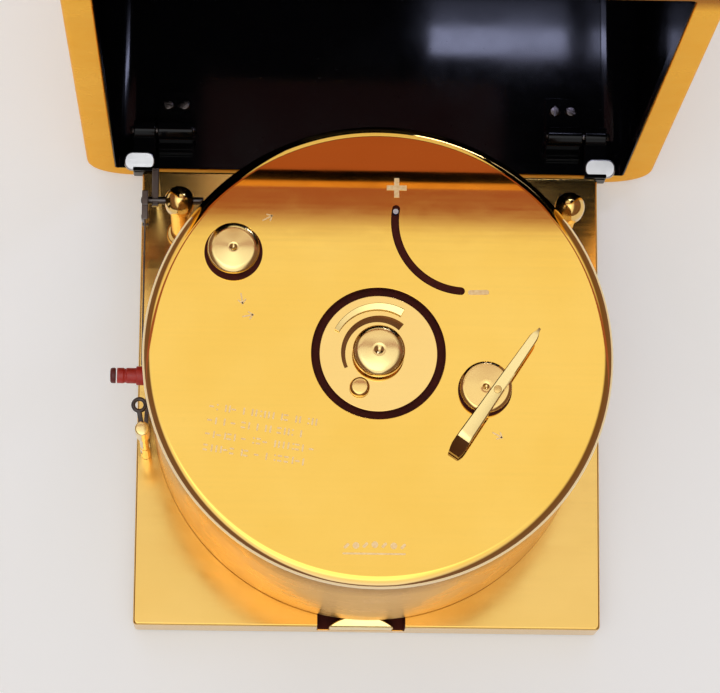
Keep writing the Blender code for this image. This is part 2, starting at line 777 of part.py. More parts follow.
def gear_train():
    planet, third, fourth, escape, _ = train_axes()
    low_pivot, high_pivot = LOWER_PLATE + 0.2 * MM, UPPER_PLATE + PLATE_GAUGE - 0.2 * MM

    planet_set = arbor("planet_wheel", planet, 35.4 * MM, high_pivot, brushed_brass())
    towards_sun = facing_gap(PLANET_TEETH, -planet)
    join(
        planet_set,
        wheel_on("planet_pinion", planet, PLANET_TEETH, 35.3 * MM, 37.1 * MM, towards_sun),
        wheel_on(
            "barrel_pinion",
            planet,
            PLANET_TEETH,
            43.2 * MM,
            45.2 * MM,
            facing_gap(PLANET_TEETH, WINDING_AXIS - planet),
        ),
        wheel_on(
            "planet_disc",
            planet,
            PLANET_WHEEL_TEETH,
            40.6 * MM,
            41.7 * MM,
            facing_tooth(third - planet),
        ),
    )
    third_set = arbor("third_wheel", third, low_pivot, high_pivot, brushed_brass())
    join(
        third_set,
        wheel_on(
            "third_pinion",
            third,
            THIRD_PINION_TEETH,
            40.3 * MM,
            42.0 * MM,
            facing_gap(THIRD_PINION_TEETH, planet - third),
        ),
        wheel_on(
            "third_disc",
            third,
            THIRD_WHEEL_TEETH,
            47.1 * MM,
            48.2 * MM,
            facing_tooth(fourth - third),
        ),
    )
    fourth_set = arbor("fourth_wheel", fourth, low_pivot, high_pivot, brushed_brass())
    join(
        fourth_set,
        wheel_on(
            "fourth_pinion",
            fourth,
            FOURTH_PINION_TEETH,
            46.8 * MM,
            48.5 * MM,
            facing_gap(FOURTH_PINION_TEETH, third - fourth),
        ),
        wheel_on(
            "fourth_disc",
            fourth,
            FOURTH_WHEEL_TEETH,
            43.1 * MM,
            44.2 * MM,
            facing_tooth(escape - fourth),
        ),
    )
    escape_set = arbor("escape_wheel", escape, low_pivot, high_pivot, brushed_brass())
    join(
        escape_set,
        wheel_on(
            "escape_pinion",
            escape,
            ESCAPE_PINION_TEETH,
            42.8 * MM,
            44.5 * MM,
            facing_gap(ESCAPE_PINION_TEETH, fourth - escape),
        ),
        extruded("escape_disc", escape_outline(), 50.6 * MM, 51.6 * MM, None, escape),
    )
    return planet_set, third_set, fourth_set, escape_set


def escape_outline():
    points, step = [], 2 * math.pi / ESCAPE_TEETH
    for tooth in range(ESCAPE_TEETH):
        for radius, share in ((5.2, 0), (6.9, 0.42), (6.9, 0.56), (5.2, 0.72)):
            angle = (tooth + share) * step
            points.append((radius * MM * math.cos(angle), radius * MM * math.sin(angle)))
    return points


def pallet_lever():
    """The anchor beside the escape wheel, and its long lever to the balance."""
    escape, pallet = train_axes()[3:]
    low, high = 50.6 * MM, 51.6 * MM
    to_balance = (BALANCE_AXIS - pallet).normalized()
    to_escape = (escape - pallet).normalized()
    across = Vector((-to_escape.y, to_escape.x, 0))
    low_end, high_end = LOWER_PLATE + 0.2 * MM, UPPER_PLATE + PLATE_GAUGE - 0.2 * MM
    lever = arbor("pallet_lever", pallet, low_end, high_end, steel())
    reach = (BALANCE_AXIS - pallet).length - 2.6 * MM
    bar = extruded("pallet_bar", band([(0, 0), (to_balance * reach).xy], 1.3 * MM), low, high, None, pallet)
    arm, drop = across * 6.0 * MM, to_escape * 1.2 * MM
    span = [arm + drop, to_escape * -0.6 * MM, drop - arm]
    anchor = extruded("pallet_anchor", band([p.xy for p in span], 1.3 * MM), low, high, None, pallet)
    return join(lever, bar, anchor)


def balance_wheel():
    low, high = 53.4 * MM, 54.8 * MM
    low_end, high_end = LOWER_PLATE + 0.2 * MM, UPPER_PLATE + PLATE_GAUGE - 0.2 * MM
    staff = arbor("balance_wheel", BALANCE_AXIS, low_end, high_end, brushed_brass())
    rim = ring("balance_rim", 9.0 * MM, 10.4 * MM, low, high, None, BALANCE_AXIS, 28)
    corner = (9.6 * MM, 0.8 * MM, high - 0.3 * MM)
    spoke = box("balance_spoke", (-corner[0], -corner[1], low + 0.3 * MM), corner, None)
    spoke.location = BALANCE_AXIS
    return join(staff, rim, spoke)


def spiral(inner, outer, turns, steps):
    """Points of a spiral, from the inside out."""
    count = turns * steps
    return [
        (
            (inner + (outer - inner) * i / count) * math.cos(2 * math.pi * i / steps),
            (inner + (outer - inner) * i / count) * math.sin(2 * math.pi * i / steps),
        )
        for i in range(count + 1)
    ]


def hairspring():
    outline = band(spiral(1.3 * MM, 5.6 * MM, 4, 12), 0.25 * MM)
    return extruded("hairspring", outline, 55.3 * MM, 55.8 * MM, steel(), BALANCE_AXIS)


def barrel():
    """The mainspring barrel, with its teeth at the bottom and open at the top."""
    outline = gear_outline(BARREL_TEETH)
    gear = extruded("barrel", outline, 43.5 * MM, 45.0 * MM, brushed_brass(), WINDING_AXIS)
    planet = planet_axis()
    gear.rotation_euler.z = facing_tooth(planet - WINDING_AXIS)
    drum = disc("barrel_body", 13 * MM, 44 * MM, 54.4 * MM, None, WINDING_AXIS)
    hollow = disc("barrel_hollow", 12.2 * MM, 45.2 * MM, 60 * MM, None, WINDING_AXIS)
    bore = disc("barrel_bore", 1.9 * MM, 40 * MM, 60 * MM, None, WINDING_AXIS, FEW_SIDES)
    return cut(join(gear, drum), hollow, bore)


def barrel_cap():
    return ring("barrel_cap", 1.9 * MM, 13 * MM, 54.7 * MM, 55.7 * MM, brushed_brass(), WINDING_AXIS, 28)


def mainspring():
    outline = band(spiral(3.0 * MM, 11.4 * MM, 4, 14), 0.5 * MM)
    return extruded("mainspring", outline, 45.8 * MM, 53.8 * MM, steel(), WINDING_AXIS)


def barrel_arbor():
    profile = [
        (0, 60.7 * MM),
        (1.6 * MM, 60.7 * MM),
        (1.6 * MM, LOWER_PLATE + PLATE_GAUGE + 0.4 * MM),
        (1.0 * MM, LOWER_PLATE + PLATE_GAUGE + 0.4 * MM),
        (1.0 * MM, LOWER_PLATE + 0.2 * MM),
        (0, LOWER_PLATE + 0.2 * MM),
    ]
    return turned("barrel_arbor", profile, steel(), WINDING_AXIS, FEW_SIDES)


def ratchet_wheel():
    teeth, points = 20, []
    for tooth in range(teeth):
        step = 2 * math.pi / teeth
        for radius, share in ((5.0, 0), (6.0, 0.75), (6.0, 0.85)):
            angle = (tooth + share) * step
            points.append((radius * MM * math.cos(angle), radius * MM * math.sin(angle)))
    wheel = extruded("ratchet_wheel", points, 58.9 * MM, 60.1 * MM, steel(), WINDING_AXIS)
    return cut(wheel, disc("ratchet_bore", 1.9 * MM, 57 * MM, 62 * MM, None, WINDING_AXIS, FEW_SIDES))


def click():
    """The pawl that lets the ratchet wheel turn one way, on its own screw."""
    pivot = WINDING_AXIS + Vector((2.5, -10.2, 0)) * MM
    low, high = 58.9 * MM, 60.0 * MM
    body = disc("click", 1.8 * MM, low, high, steel(), pivot, FEW_SIDES)
    nose_outline = [(-0.9 * MM, 1.0 * MM), (1.2 * MM, 0), (-2.2 * MM, 3.7 * MM)]
    nose = extruded("click_nose", nose_outline, low, high, None, pivot)
    return join(body, nose)


def movement_plates():
    """Two round plates; three bosses on the upper one reach the cap above it."""
    axes = train_axes()
    made = []
    for name, low in (("lower_plate", LOWER_PLATE), ("upper_plate", UPPER_PLATE)):
        high = low + PLATE_GAUGE
        plate = disc(name, MOVEMENT_RADIUS, low, high, brushed_brass())
        if name == "upper_plate":
            boss_top = DRUM_TOP - CAP_THICKNESS - GAP
            for i, place in enumerate(pillar_places()):
                boss = disc(f"cap_boss_{i + 1}", 2.2 * MM, low + 0.5 * MM, boss_top, None, place, FEW_SIDES)
                join(plate, boss)
            post = disc("index_post", 1.8 * MM, high - 0.5 * MM, 61.6 * MM, None, BALANCE_AXIS, FEW_SIDES)
            join(plate, post)
        centre = disc(name + "_centre", 3.8 * MM, low - 2 * MM, high + 2 * MM, sides=20)
        cut(plate, centre)
        for i, place in enumerate((*axes, BALANCE_AXIS)):
            cut(plate, disc(f"{name}_pivot_{i + 1}", 0.9 * MM, low - 2 * MM, high + GAP, None, place, 8))
        bore_low, bore_high = low - 2 * MM, high + 2 * MM
        cut(plate, disc(name + "_winding", 1.95 * MM, bore_low, bore_high, None, WINDING_AXIS, FEW_SIDES))
        made.append(plate)
    return made


def pillar_places():
    angles = (math.radians(a) for a in (15, 110, 255))
    return [Vector((math.cos(a), math.sin(a), 0)) * 39 * MM for a in angles]


def pillars():
    low, high = LOWER_PLATE + PLATE_GAUGE + GAP, UPPER_PLATE - GAP
    places = enumerate(pillar_places())
    return [disc(f"pillar_{i + 1}", 2 * MM, low, high, steel(), place, FEW_SIDES) for i, place in places]


def regulator_index():
    """The pointer that slows or speeds the balance; its tip stands up through the slot in the cap."""
    low, high = 59.6 * MM, 60.6 * MM
    start = SLOT_START + math.radians(3)
    eye = ring("regulator_index", 2.1 * MM, 3.6 * MM, low, high, steel(), BALANCE_AXIS, 28)
    direction = Vector((math.cos(start), math.sin(start)))
    route = [direction * 3.0 * MM, direction * SLOT_RADIUS]
    arm = extruded("index_arm", band(route, 1.4 * MM), low, high, None, BALANCE_AXIS)
    tip_place = BALANCE_AXIS + direction.to_3d() * SLOT_RADIUS
    tip = disc("index_tip", 0.55 * MM, low, DRUM_TOP + 0.9 * MM, None, tip_place, 14)
    return join(eye, arm, tip)


# Cover


def cover_centre():
    return (0, 0, COVER_BOTTOM + COVER_HEIGHT / 2)


def cover_outline(inset, corner):
    points = rounded_rectangle(COVER_WIDTH - 2 * inset, COVER_HEIGHT - 2 * inset, corner)
    return [(x, z + cover_centre()[2]) for x, z in points]


def window_cutter(name, margin):
    """A box through the wall that is at the front when the cover is shut."""
    top = COVER_BOTTOM + COVER_HEIGHT
    low = (-40 * MM + margin, MOUTH_Y + 14 * MM + margin, top - 12 * MM)
    high = (40 * MM - margin, MOUTH_Y + 62 * MM - margin, top + 5 * MM)
    return box(name, low, high)


def cover_shell():
    front, back = MOUTH_Y + RIM_DEPTH + GAP, MOUTH_Y + COVER_DEPTH
    shell = upright(cover_outline(SHELL_INSET, COVER_CORNER), front, back, "cover_shell", gilt_brass())
    round_edges(shell, 2.0 * MM, 3, 60)
    inner = cover_outline(SHELL_INSET + COVER_WALL, COVER_CORNER - COVER_WALL)
    hollow = upright(inner, front - 5 * MM, back - COVER_WALL, "cover_hollow")
    return cut(shell, hollow, window_cutter("window_opening", 0))


def cover_lining():
    """The black lacquered liner, one sheet inside the shell."""
    front, back = MOUTH_Y + RIM_DEPTH + GAP, MOUTH_Y + COVER_DEPTH - COVER_WALL - GAP
    inset = SHELL_INSET + COVER_WALL + GAP
    outline = cover_outline(inset, COVER_CORNER - inset)
    liner = upright(outline, front, back, "cover_lining", black_lacquer())
    inner = cover_outline(inset + LINING, COVER_CORNER - inset - LINING)
    hollow = upright(inner, front - 5 * MM, back - LINING, "lining_hollow")
    return cut(liner, hollow, window_cutter("lining_opening", 1.5 * MM))


def cover_rim():
    """The flat frame round the mouth: round outside corners, nearly square inside ones."""
    outer = cover_outline(0, COVER_CORNER)
    rim = upright(outer, MOUTH_Y, MOUTH_Y + RIM_DEPTH, "cover_rim", gilt_brass())
    inner = cover_outline(RIM_WIDTH, 1 * MM)
    return cut(rim, upright(inner, MOUTH_Y - 3 * MM, MOUTH_Y + RIM_DEPTH + 3 * MM, "rim_opening"))


def window_pane():
    top = COVER_BOTTOM + COVER_HEIGHT - SHELL_INSET
    low = (-40 * MM + GAP, MOUTH_Y + 14 * MM + GAP, top - COVER_WALL)
    high = (40 * MM - GAP, MOUTH_Y + 62 * MM - GAP, top)
    return box("window_pane", low, high, glass())


def window_bezel():
    low, high = COVER_BOTTOM + COVER_HEIGHT - SHELL_INSET + GAP, COVER_BOTTOM + COVER_HEIGHT + 0.9 * MM
    middle = (0, MOUTH_Y + 38 * MM, 0)
    outline = rounded_rectangle(85 * MM, 53 * MM, 3 * MM, 4)
    frame = extruded("window_bezel", outline, low, high, gilt_brass(), middle)
    opening = rounded_rectangle(77 * MM, 45 * MM, 1 * MM, 3)
    return cut(frame, extruded("bezel_opening", opening, low - 3 * MM, high + 3 * MM, None, middle))


def hinge(side, sign):
    """One hinge: a lug on the base, a leaf on the cover's floor, and the pin through both."""
    xs = sorted((sign * 46.6 * MM, sign * 51.4 * MM))
    lug = box(
        f"hinge_lug_{side}",
        (xs[0], PLATE_BACK + GAP, 4.2 * MM),
        (xs[1], PLATE_BACK + 1.2 * MM, 9.7 * MM),
        polished_brass(),
    )
    arm = box(
        f"lug_arm_{side}",
        (xs[0], PLATE_BACK + GAP, 7.2 * MM),
        (xs[1], HINGE_Y, 9.7 * MM),
    )
    join(lug, arm, along_x(f"lug_knuckle_{side}", KNUCKLE, xs[0], xs[1], HINGE_Y, HINGE_Z))
    cut(lug, along_x(f"lug_bore_{side}", 1.2 * MM, xs[0] - 3 * MM, xs[1] + 3 * MM, HINGE_Y, HINGE_Z))

    floor = COVER_BOTTOM + SHELL_INSET + COVER_WALL + GAP + LINING + GAP
    span = sorted((sign * 38.5 * MM, sign * 46.2 * MM))
    leaf = box(
        f"hinge_leaf_{side}",
        (span[0], MOUTH_Y + 4.0 * MM, floor),
        (span[1], MOUTH_Y + 18 * MM, floor + 1.2 * MM),
        polished_brass(),
    )
    web = box(
        f"leaf_web_{side}",
        (span[0], HINGE_Y - 1.5 * MM, floor + 0.6 * MM),
        (span[1], HINGE_Y + 1.5 * MM, HINGE_Z),
    )
    join(leaf, web, along_x(f"leaf_knuckle_{side}", KNUCKLE, *span, HINGE_Y, HINGE_Z))
    cut(leaf, along_x(f"leaf_bore_{side}", 1.2 * MM, span[0] - 3 * MM, span[1] + 3 * MM, HINGE_Y, HINGE_Z))
    ends = sorted((sign * 38.0 * MM, sign * 52.2 * MM))
    pin = along_x(f"hinge_pin_{side}", 0.9 * MM, *ends, HINGE_Y, HINGE_Z, steel())
    return lug, pin, leaf


def main():
    clear_scene()
    base_pad()
    base_plate()
    spindle()
    spindle_nut()
    sun_gear()
    capsules()
    capsule_bridge()
    rear_post("rear_post_left", -POST_X, True)
    rear_post("rear_post_right", POST_X, False)
    lifter_post()
    catch_spring()
    front_catch()

    cover = joint_axis("cover_axis", (0, HINGE_Y, HINGE_Z))
    for side, sign in (("left", -1), ("right", 1)):
        hang(cover, hinge(side, sign)[2])
    hang(cover, cover_shell(), cover_lining(), cover_rim(), window_pane(), window_bezel())

    drum = joint_axis("drum_axis", (0, 0, 0))
    hang(drum, drum_shell(), drum_hub(), hub_spring(), *movement_plates(), *pillars())
    hang(drum, set_knob(), regulator_index(), time_lever(), pallet_lever(), click())
    hang(drum, *gear_train())
    winding = joint_axis("winding_axis", WINDING_AXIS, drum)
    hang(winding, winding_hub(), key_bar(), barrel_arbor(), ratchet_wheel())
    spring_barrel = joint_axis("barrel_axis", WINDING_AXIS, drum)
    hang(spring_barrel, barrel(), barrel_cap(), mainspring())
    balance = joint_axis("balance_axis", BALANCE_AXIS, drum)
    hang(balance, balance_wheel(), hairspring())

    capsule_stud()
    transfer_lever()
    lift_rod()
    arm_axis = joint_axis("arm_axis", (ARM_X, POST_Y, ARM_AXIS_Z))
    hang(arm_axis, arm_arbor())
    gate = joint_axis("gate_axis", (ARM_X, GATE_Y, ARM_AXIS_Z), arm_axis)
    hang(gate, pen_arm(), pen(), pen_plug())
    pen_lifter()


main()
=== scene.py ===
"""The looks of the barograph: detailed pieces and procedural materials round the fixed CAD frame. Metres, +Z up."""

import json
import math
import random

import bmesh
import bpy
from mathutils import Matrix, Vector

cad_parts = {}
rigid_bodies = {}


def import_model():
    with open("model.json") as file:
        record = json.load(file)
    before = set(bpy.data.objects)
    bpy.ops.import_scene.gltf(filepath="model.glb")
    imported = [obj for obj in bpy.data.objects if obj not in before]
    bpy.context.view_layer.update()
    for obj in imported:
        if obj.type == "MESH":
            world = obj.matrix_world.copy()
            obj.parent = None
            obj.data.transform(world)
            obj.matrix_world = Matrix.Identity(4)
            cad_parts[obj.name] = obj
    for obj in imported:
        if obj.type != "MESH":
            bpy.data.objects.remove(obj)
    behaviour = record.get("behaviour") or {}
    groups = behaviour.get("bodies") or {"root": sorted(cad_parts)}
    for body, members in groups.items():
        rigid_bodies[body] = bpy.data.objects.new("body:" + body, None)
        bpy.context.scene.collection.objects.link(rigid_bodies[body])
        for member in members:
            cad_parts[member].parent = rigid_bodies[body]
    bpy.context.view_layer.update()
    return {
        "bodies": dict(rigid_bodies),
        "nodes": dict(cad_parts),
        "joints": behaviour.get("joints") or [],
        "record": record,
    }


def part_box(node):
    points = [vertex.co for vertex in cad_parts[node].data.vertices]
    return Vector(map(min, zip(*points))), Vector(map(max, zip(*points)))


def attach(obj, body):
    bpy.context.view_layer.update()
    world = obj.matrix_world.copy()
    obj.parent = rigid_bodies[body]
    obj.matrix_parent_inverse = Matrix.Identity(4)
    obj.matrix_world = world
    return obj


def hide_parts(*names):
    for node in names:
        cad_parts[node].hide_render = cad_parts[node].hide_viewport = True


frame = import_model()

MM = 0.001
ROUND = 160  # sides of a large turned piece
SMALL_ROUND = 64


def centre_of(node):
    low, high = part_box(node)
    return (low + high) / 2


# Node graphs


class Graph:
    """A short way to write the nodes of a material, or of the world if one is given."""

    def __init__(self, name, world=None):
        self.material = world or bpy.data.materials.new(name)
        self.material.use_nodes = True
        self.tree = self.material.node_tree
        self.shader = self.tree.nodes["Background" if world else "Principled BSDF"]

    def node(self, kind, **settings):
        made = self.tree.nodes.new(kind)
        for key, value in settings.items():
            setattr(made, key, value)
        return made

    def link(self, source, target):
        self.tree.links.new(source, target)

    def place(self, scale=(1, 1, 1), turn=(0, 0, 0), offset=(0, 0, 0)):
        """Object coordinates, scaled, turned and shifted."""
        coordinates = self.node("ShaderNodeTexCoord")
        mapping = self.node("ShaderNodeMapping")
        mapping.inputs["Scale"].default_value = scale
        mapping.inputs["Rotation"].default_value = turn
        mapping.inputs["Location"].default_value = offset
        self.link(coordinates.outputs["Object"], mapping.inputs["Vector"])
        return mapping.outputs["Vector"]

    def height(self):
        split = self.node("ShaderNodeSeparateXYZ")
        self.link(self.place(), split.inputs["Vector"])
        return split.outputs["Z"]

    def noise(self, vector, scale, detail=3.0, roughness=0.5, distortion=0.0):
        made = self.node("ShaderNodeTexNoise")
        made.inputs["Scale"].default_value = scale
        made.inputs["Detail"].default_value = detail
        made.inputs["Roughness"].default_value = roughness
        made.inputs["Distortion"].default_value = distortion
        self.link(vector, made.inputs["Vector"])
        return made.outputs["Fac"]

    def ramp(self, value, stops):
        """stops are (position, colour) with grey or RGB colours."""
        made = self.node("ShaderNodeValToRGB")
        elements = made.color_ramp.elements
        while len(elements) < len(stops):
            elements.new(0.5)
        for element, (position, colour) in zip(elements, stops):
            element.position = position
            rgb = (colour, colour, colour) if isinstance(colour, (int, float)) else colour
            element.color = (*rgb, 1)
        self.link(value, made.inputs["Fac"])
        return made.outputs["Color"]

    def rescale(self, value, low, high, from_low=0.0, from_high=1.0, curve="LINEAR"):
        made = self.node("ShaderNodeMapRange", interpolation_type=curve)
        for name, number in (("From Min", from_low), ("From Max", from_high), ("To Min", low), ("To Max", high)):
            made.inputs[name].default_value = number
        self.link(value, made.inputs["Value"])
        return made.outputs["Result"]

    def math(self, operation, first, second):
        made = self.node("ShaderNodeMath", operation=operation)
        for socket, value in zip(made.inputs, (first, second)):
            if isinstance(value, (int, float)):
                socket.default_value = value
            else:
                self.link(value, socket)
        return made.outputs["Value"]

    def blend(self, share, first, second):
        made = self.node("ShaderNodeMix", data_type="RGBA")
        sockets = [s for s in made.inputs if s.type == "RGBA"]
        factor = made.inputs["Factor"]
        if isinstance(share, (int, float)):
            factor.default_value = share
        else:
            self.link(share, factor)
        for socket, value in zip(sockets, (first, second)):
            if isinstance(value, tuple):
                socket.default_value = (*value, 1)
            else:
                self.link(value, socket)
        return [s for s in made.outputs if s.type == "RGBA"][0]

    def bump(self, height, strength, distance):
        made = self.node("ShaderNodeBump")
        made.inputs["Strength"].default_value = strength
        made.inputs["Distance"].default_value = distance
        self.link(height, made.inputs["Height"])
        return made.outputs["Normal"]

    def set(self, **values):
        for key, value in values.items():
            socket = self.shader.inputs[key.replace("_", " ")]
            if isinstance(value, (int, float, tuple)):
                socket.default_value = (*value, 1) if isinstance(value, tuple) and len(value) == 3 else value
            else:
                self.link(value, socket)


# Materials


def brass(name, colour, warm, roughness, brushing=None, wear=0.5, bump=0.02, edge=None, painted_light=None):
    """Lacquered brass with a cloudy tone, handling marks and fine scratches, and brushing where it is asked for.

    edge is the reflection's colour at a glancing angle; the last argument is (start, end, colour): a colour blended
    in between two heights in mm, which paints shade or a paler highlight onto the brass.
    """
    g = Graph(name)
    wide = g.noise(g.place(), 38, 3, 0.55)
    fine = g.noise(g.place(), 420, 4, 0.6)
    cloud = g.ramp(wide, [(0.32, warm), (0.68, colour)])
    spots = g.ramp(g.noise(g.place(offset=(3, 1, 2)), 900, 2, 0.5), [(0.62, 0.0), (0.74, 1.0)])
    tarnished = tuple(c * 0.72 for c in warm)
    base = g.blend(g.math("MULTIPLY", spots, 0.10 * wear), cloud, tarnished)
    smear = g.noise(g.place(scale=(1, 3, 1), turn=(0, 0, 0.6)), 90, 4, 0.6, 0.8)
    rough = g.rescale(smear, roughness * 0.8, roughness * 1.3, 0.3, 0.7)
    height = g.rescale(fine, 0.0, 0.3)
    if brushing:
        grain = g.noise(g.place(scale=brushing), 1.0, 6, 0.65)
        height = g.math("ADD", height, grain)
        rough = g.math("ADD", rough, g.rescale(grain, -0.1 * roughness, 0.3 * roughness, 0.3, 0.7))
        base = g.blend(g.rescale(grain, 0.0, 0.10, 0.35, 0.65), base, tuple(c * 0.82 for c in colour))
    # Painted light: a colour blended in by height, standing in for shade or for a highlight's tone.
    if painted_light:
        start, end, tint = painted_light
        base = g.blend(g.rescale(g.height(), 0.0, 0.88, start * MM, end * MM), base, tint)
    g.set(Base_Color=base, Metallic=1.0, Roughness=rough, Normal=g.bump(height, 0.35, bump * MM))
    if edge:
        g.shader.inputs["Specular Tint"].default_value = (*edge, 1)
    return g.material


def grained(name, dark, light, grain, rough, bump, tone_scale=None, metal=1.0, specular=0.5):
    """An uneven tone under one fine grain, given as (stretch, scale, detail, roughness); bump is (strength, mm)."""
    g = Graph(name)
    stretch, scale, detail, roughness = grain
    fibre = g.noise(g.place(scale=stretch), scale, detail, roughness)
    uneven = g.noise(g.place(), tone_scale, 3) if tone_scale else fibre
    g.set(Base_Color=g.ramp(uneven, [(0.3, dark), (0.7, light)]), Metallic=metal, Roughness=g.rescale(fibre, *rough))
    g.set(Normal=g.bump(fibre, bump[0], bump[1] * MM))
    g.shader.inputs["Specular IOR Level"].default_value = specular
    return g.material


def lacquer():
    """Deep black gloss, with faint orange peel and a few dust specks."""
    g = Graph("black_gloss")
    peel = g.noise(g.place(), 260, 2, 0.4)
    dust = g.ramp(g.noise(g.place(offset=(1, 4, 2)), 1500, 2, 0.5), [(0.72, 0.0), (0.78, 1.0)])
    tone = g.blend(g.math("MULTIPLY", dust, 0.04), (0.003, 0.003, 0.0035), (0.25, 0.24, 0.22))
    rough = g.rescale(g.noise(g.place(), 60, 4, 0.6), 0.05, 0.12, 0.3, 0.7)
    g.set(Base_Color=tone, Roughness=rough, Normal=g.bump(peel, 0.05, 0.02 * MM))
    g.shader.inputs["Specular IOR Level"].default_value = 0.18
    return g.material


def pane_glass():
    g = Graph("pane_glass")
    smear = g.noise(g.place(scale=(1, 2, 1)), 30, 4, 0.6, 0.5)
    g.set(Base_Color=(0.97, 0.99, 0.985), Roughness=g.rescale(smear, 0.01, 0.05, 0.35, 0.75))
    g.shader.inputs["Transmission Weight"].default_value = 1.0
    g.shader.inputs["IOR"].default_value = 1.5
    return g.material


def baize():
    g = Graph("baize")
    fibre = g.noise(g.place(), 2600, 4, 0.7, 1.5)
    tone = g.ramp(fibre, [(0.3, (0.008, 0.045, 0.018)), (0.7, (0.03, 0.13, 0.055))])
    g.set(Base_Color=tone, Roughness=0.95, Normal=g.bump(fibre, 0.8, 0.25 * MM))
    g.shader.inputs["Sheen Weight"].default_value = 0.4
    g.shader.inputs["Sheen Roughness"].default_value = 0.5
    return g.material


EVEN = (1, 1, 1)
ALONG_X, ALONG_Z = (24, 1500, 28), (60, 60, 1800)
GILT, WARM_GILT, GILT_EDGE = (1.0, 0.60, 0.12), (0.98, 0.55, 0.09), (1, 0.72, 0.42)
# Painted highlight: the cap's rolled edge turns paler towards its foot, giving its highlight a whitish tone.
CAP_PAINTED_HIGHLIGHT = (64.45, 63.5, (0.98, 0.80, 0.50))
# Painted shade: the drum wall darkens to brown towards its top, under the cap's lip.
WALL_PAINTED_SHADE = (46, 61, (0.22, 0.085, 0.02))
# Painted shade: the cover rim darkens towards its upper edge, so that edge shows dark in the cap's reflection.
RIM_PAINTED_SHADE = (125, 130.5, (0.30, 0.10, 0.05))
MATERIALS = {
    "cap": brass("cap_brass", (0.94, 0.59, 0.125), (0.91, 0.55, 0.10), 0.035, ALONG_X, bump=0.00004, painted_light=CAP_PAINTED_HIGHLIGHT),
    "wall": brass("wall_brass", (0.84, 0.62, 0.31), (0.78, 0.55, 0.25), 0.26, ALONG_Z, bump=0.003,
                  edge=(0.95, 0.72, 0.46), painted_light=WALL_PAINTED_SHADE),
    "plate": brass("plate_brass", (0.86, 0.55, 0.16), (0.80, 0.50, 0.13), 0.13, (20, 1300, 20), bump=0.002),
    "polished": brass("bright_brass", (0.94, 0.66, 0.25), (0.90, 0.58, 0.17), 0.13, bump=0.006),
    "rim": brass("gilt_rim", GILT, WARM_GILT, 0.30, wear=0.8, bump=0.004, edge=GILT_EDGE, painted_light=RIM_PAINTED_SHADE),
    "gilt": brass("gilt_satin", GILT, WARM_GILT, 0.30, wear=0.8, bump=0.004, edge=GILT_EDGE),
    "movement": brass("movement_brass", (0.80, 0.55, 0.20), (0.74, 0.47, 0.15), 0.24, (30, 900, 30)),
    "bright": brass("worn_bright_brass", (0.97, 0.76, 0.34), (0.94, 0.68, 0.26), 0.16, bump=0.004),
    # Painted shade: a dark brown brass for the hub's recess floor and the key's bent end, standing in for their
    # shade.
    "painted_shade": brass("painted_shade_brass", (0.20, 0.09, 0.03), (0.13, 0.05, 0.015), 0.35),
    "steel": grained("ground_steel", (0.42, 0.42, 0.43), (0.60, 0.60, 0.61), ((40, 900, 900), 1.0, 5, 0.6),
                     (0.20, 0.38), (0.25, 0.01), 120),
    "dark_steel": grained("dark_steel", (0.07, 0.06, 0.06), (0.16, 0.14, 0.13), ((60, 700, 700), 1.0, 4, 0.5),
                          (0.22, 0.36), (0.2, 0.01), 160),
    "blued": grained("blued_steel", (0.015, 0.03, 0.16), (0.03, 0.06, 0.26), (EVEN, 900, 3, 0.5),
                     (0.18, 0.3), (0.15, 0.01), 200),
    "red": grained("pen_red", (0.42, 0.018, 0.012), (0.60, 0.035, 0.02), (EVEN, 2500, 3, 0.6),
                   (0.27, 0.43), (0.3, 0.02), 300, metal=0.0),
    "black": grained("plug_black", (0.10, 0.008, 0.008), (0.16, 0.014, 0.012), (EVEN, 2500, 3, 0.6),
                     (0.32, 0.48), (0.3, 0.02), 300, metal=0.0),
    "engraved": grained("engraved_brass", (0.80, 0.54, 0.24), (0.96, 0.74, 0.42), (EVEN, 1800, 3, 0.6),
                        (0.34, 0.5), (0.5, 0.03)),
    # Painted shade: a dark matt finish for the floors, rings and walls set in the slot, round the hub, under the knob
    # and the key, and in the catch's recess.
    "shade_dark": grained("painted_shade_matt", (0.065, 0.010, 0.006), (0.10, 0.016, 0.009), (EVEN, 500, 3, 0.5),
                      (0.5, 0.7), (0.3, 0.02), metal=0.0, specular=0.12),
    "lacquer": lacquer(),
    "glass": pane_glass(),
    "baize": baize(),
}
SLOT_MATERIAL = {
    "polished_brass": "polished",
    "brushed_brass": "movement",
    "gilt_brass": "gilt",
    "steel": "steel",
    "black_lacquer": "lacquer",
    "red_plastic": "red",
    "black_plastic": "black",
    "clear_glass": "glass",
    "green_felt": "baize",
}


def dress_frame():
    """Every CAD node gets its slot's procedural material."""
    special = {"hairspring": "blued", "mainspring": "blued", "hub_spring": "polished", "base_plate": "plate"}
    for row in frame["record"]["subparts"]:
        obj = frame["nodes"][row["node"]]
        made = MATERIALS[special.get(row["node"], SLOT_MATERIAL[row["material_slot"]])]
        obj.data.materials.clear()
        obj.data.materials.append(made)


# Shapes


def show(name, data):
    obj = bpy.data.objects.new(name, data)
    bpy.context.scene.collection.objects.link(obj)
    return obj


def finish_faces(obj):
    """Smooth faces with crisp edges, weighted so that flat faces stay flat."""
    obj.data.shade_smooth()
    obj.data.set_sharp_from_angle(angle=math.radians(40))
    if not obj.modifiers:
        obj.modifiers.new("face weights", "WEIGHTED_NORMAL").keep_sharp = True
    return obj


def piece(name, bm, material, body):
    """A visible piece that rides on a body; its faces aren't weighted until finish_faces or carve."""
    bmesh.ops.recalc_face_normals(bm, faces=bm.faces)
    mesh = bpy.data.meshes.new(name)
    bm.to_mesh(mesh)
    bm.free()
    mesh.shade_smooth()
    mesh.set_sharp_from_angle(angle=math.radians(40))
    mesh.materials.append(MATERIALS[material])
    obj = show(name, mesh)
    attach(obj, body)
    return obj


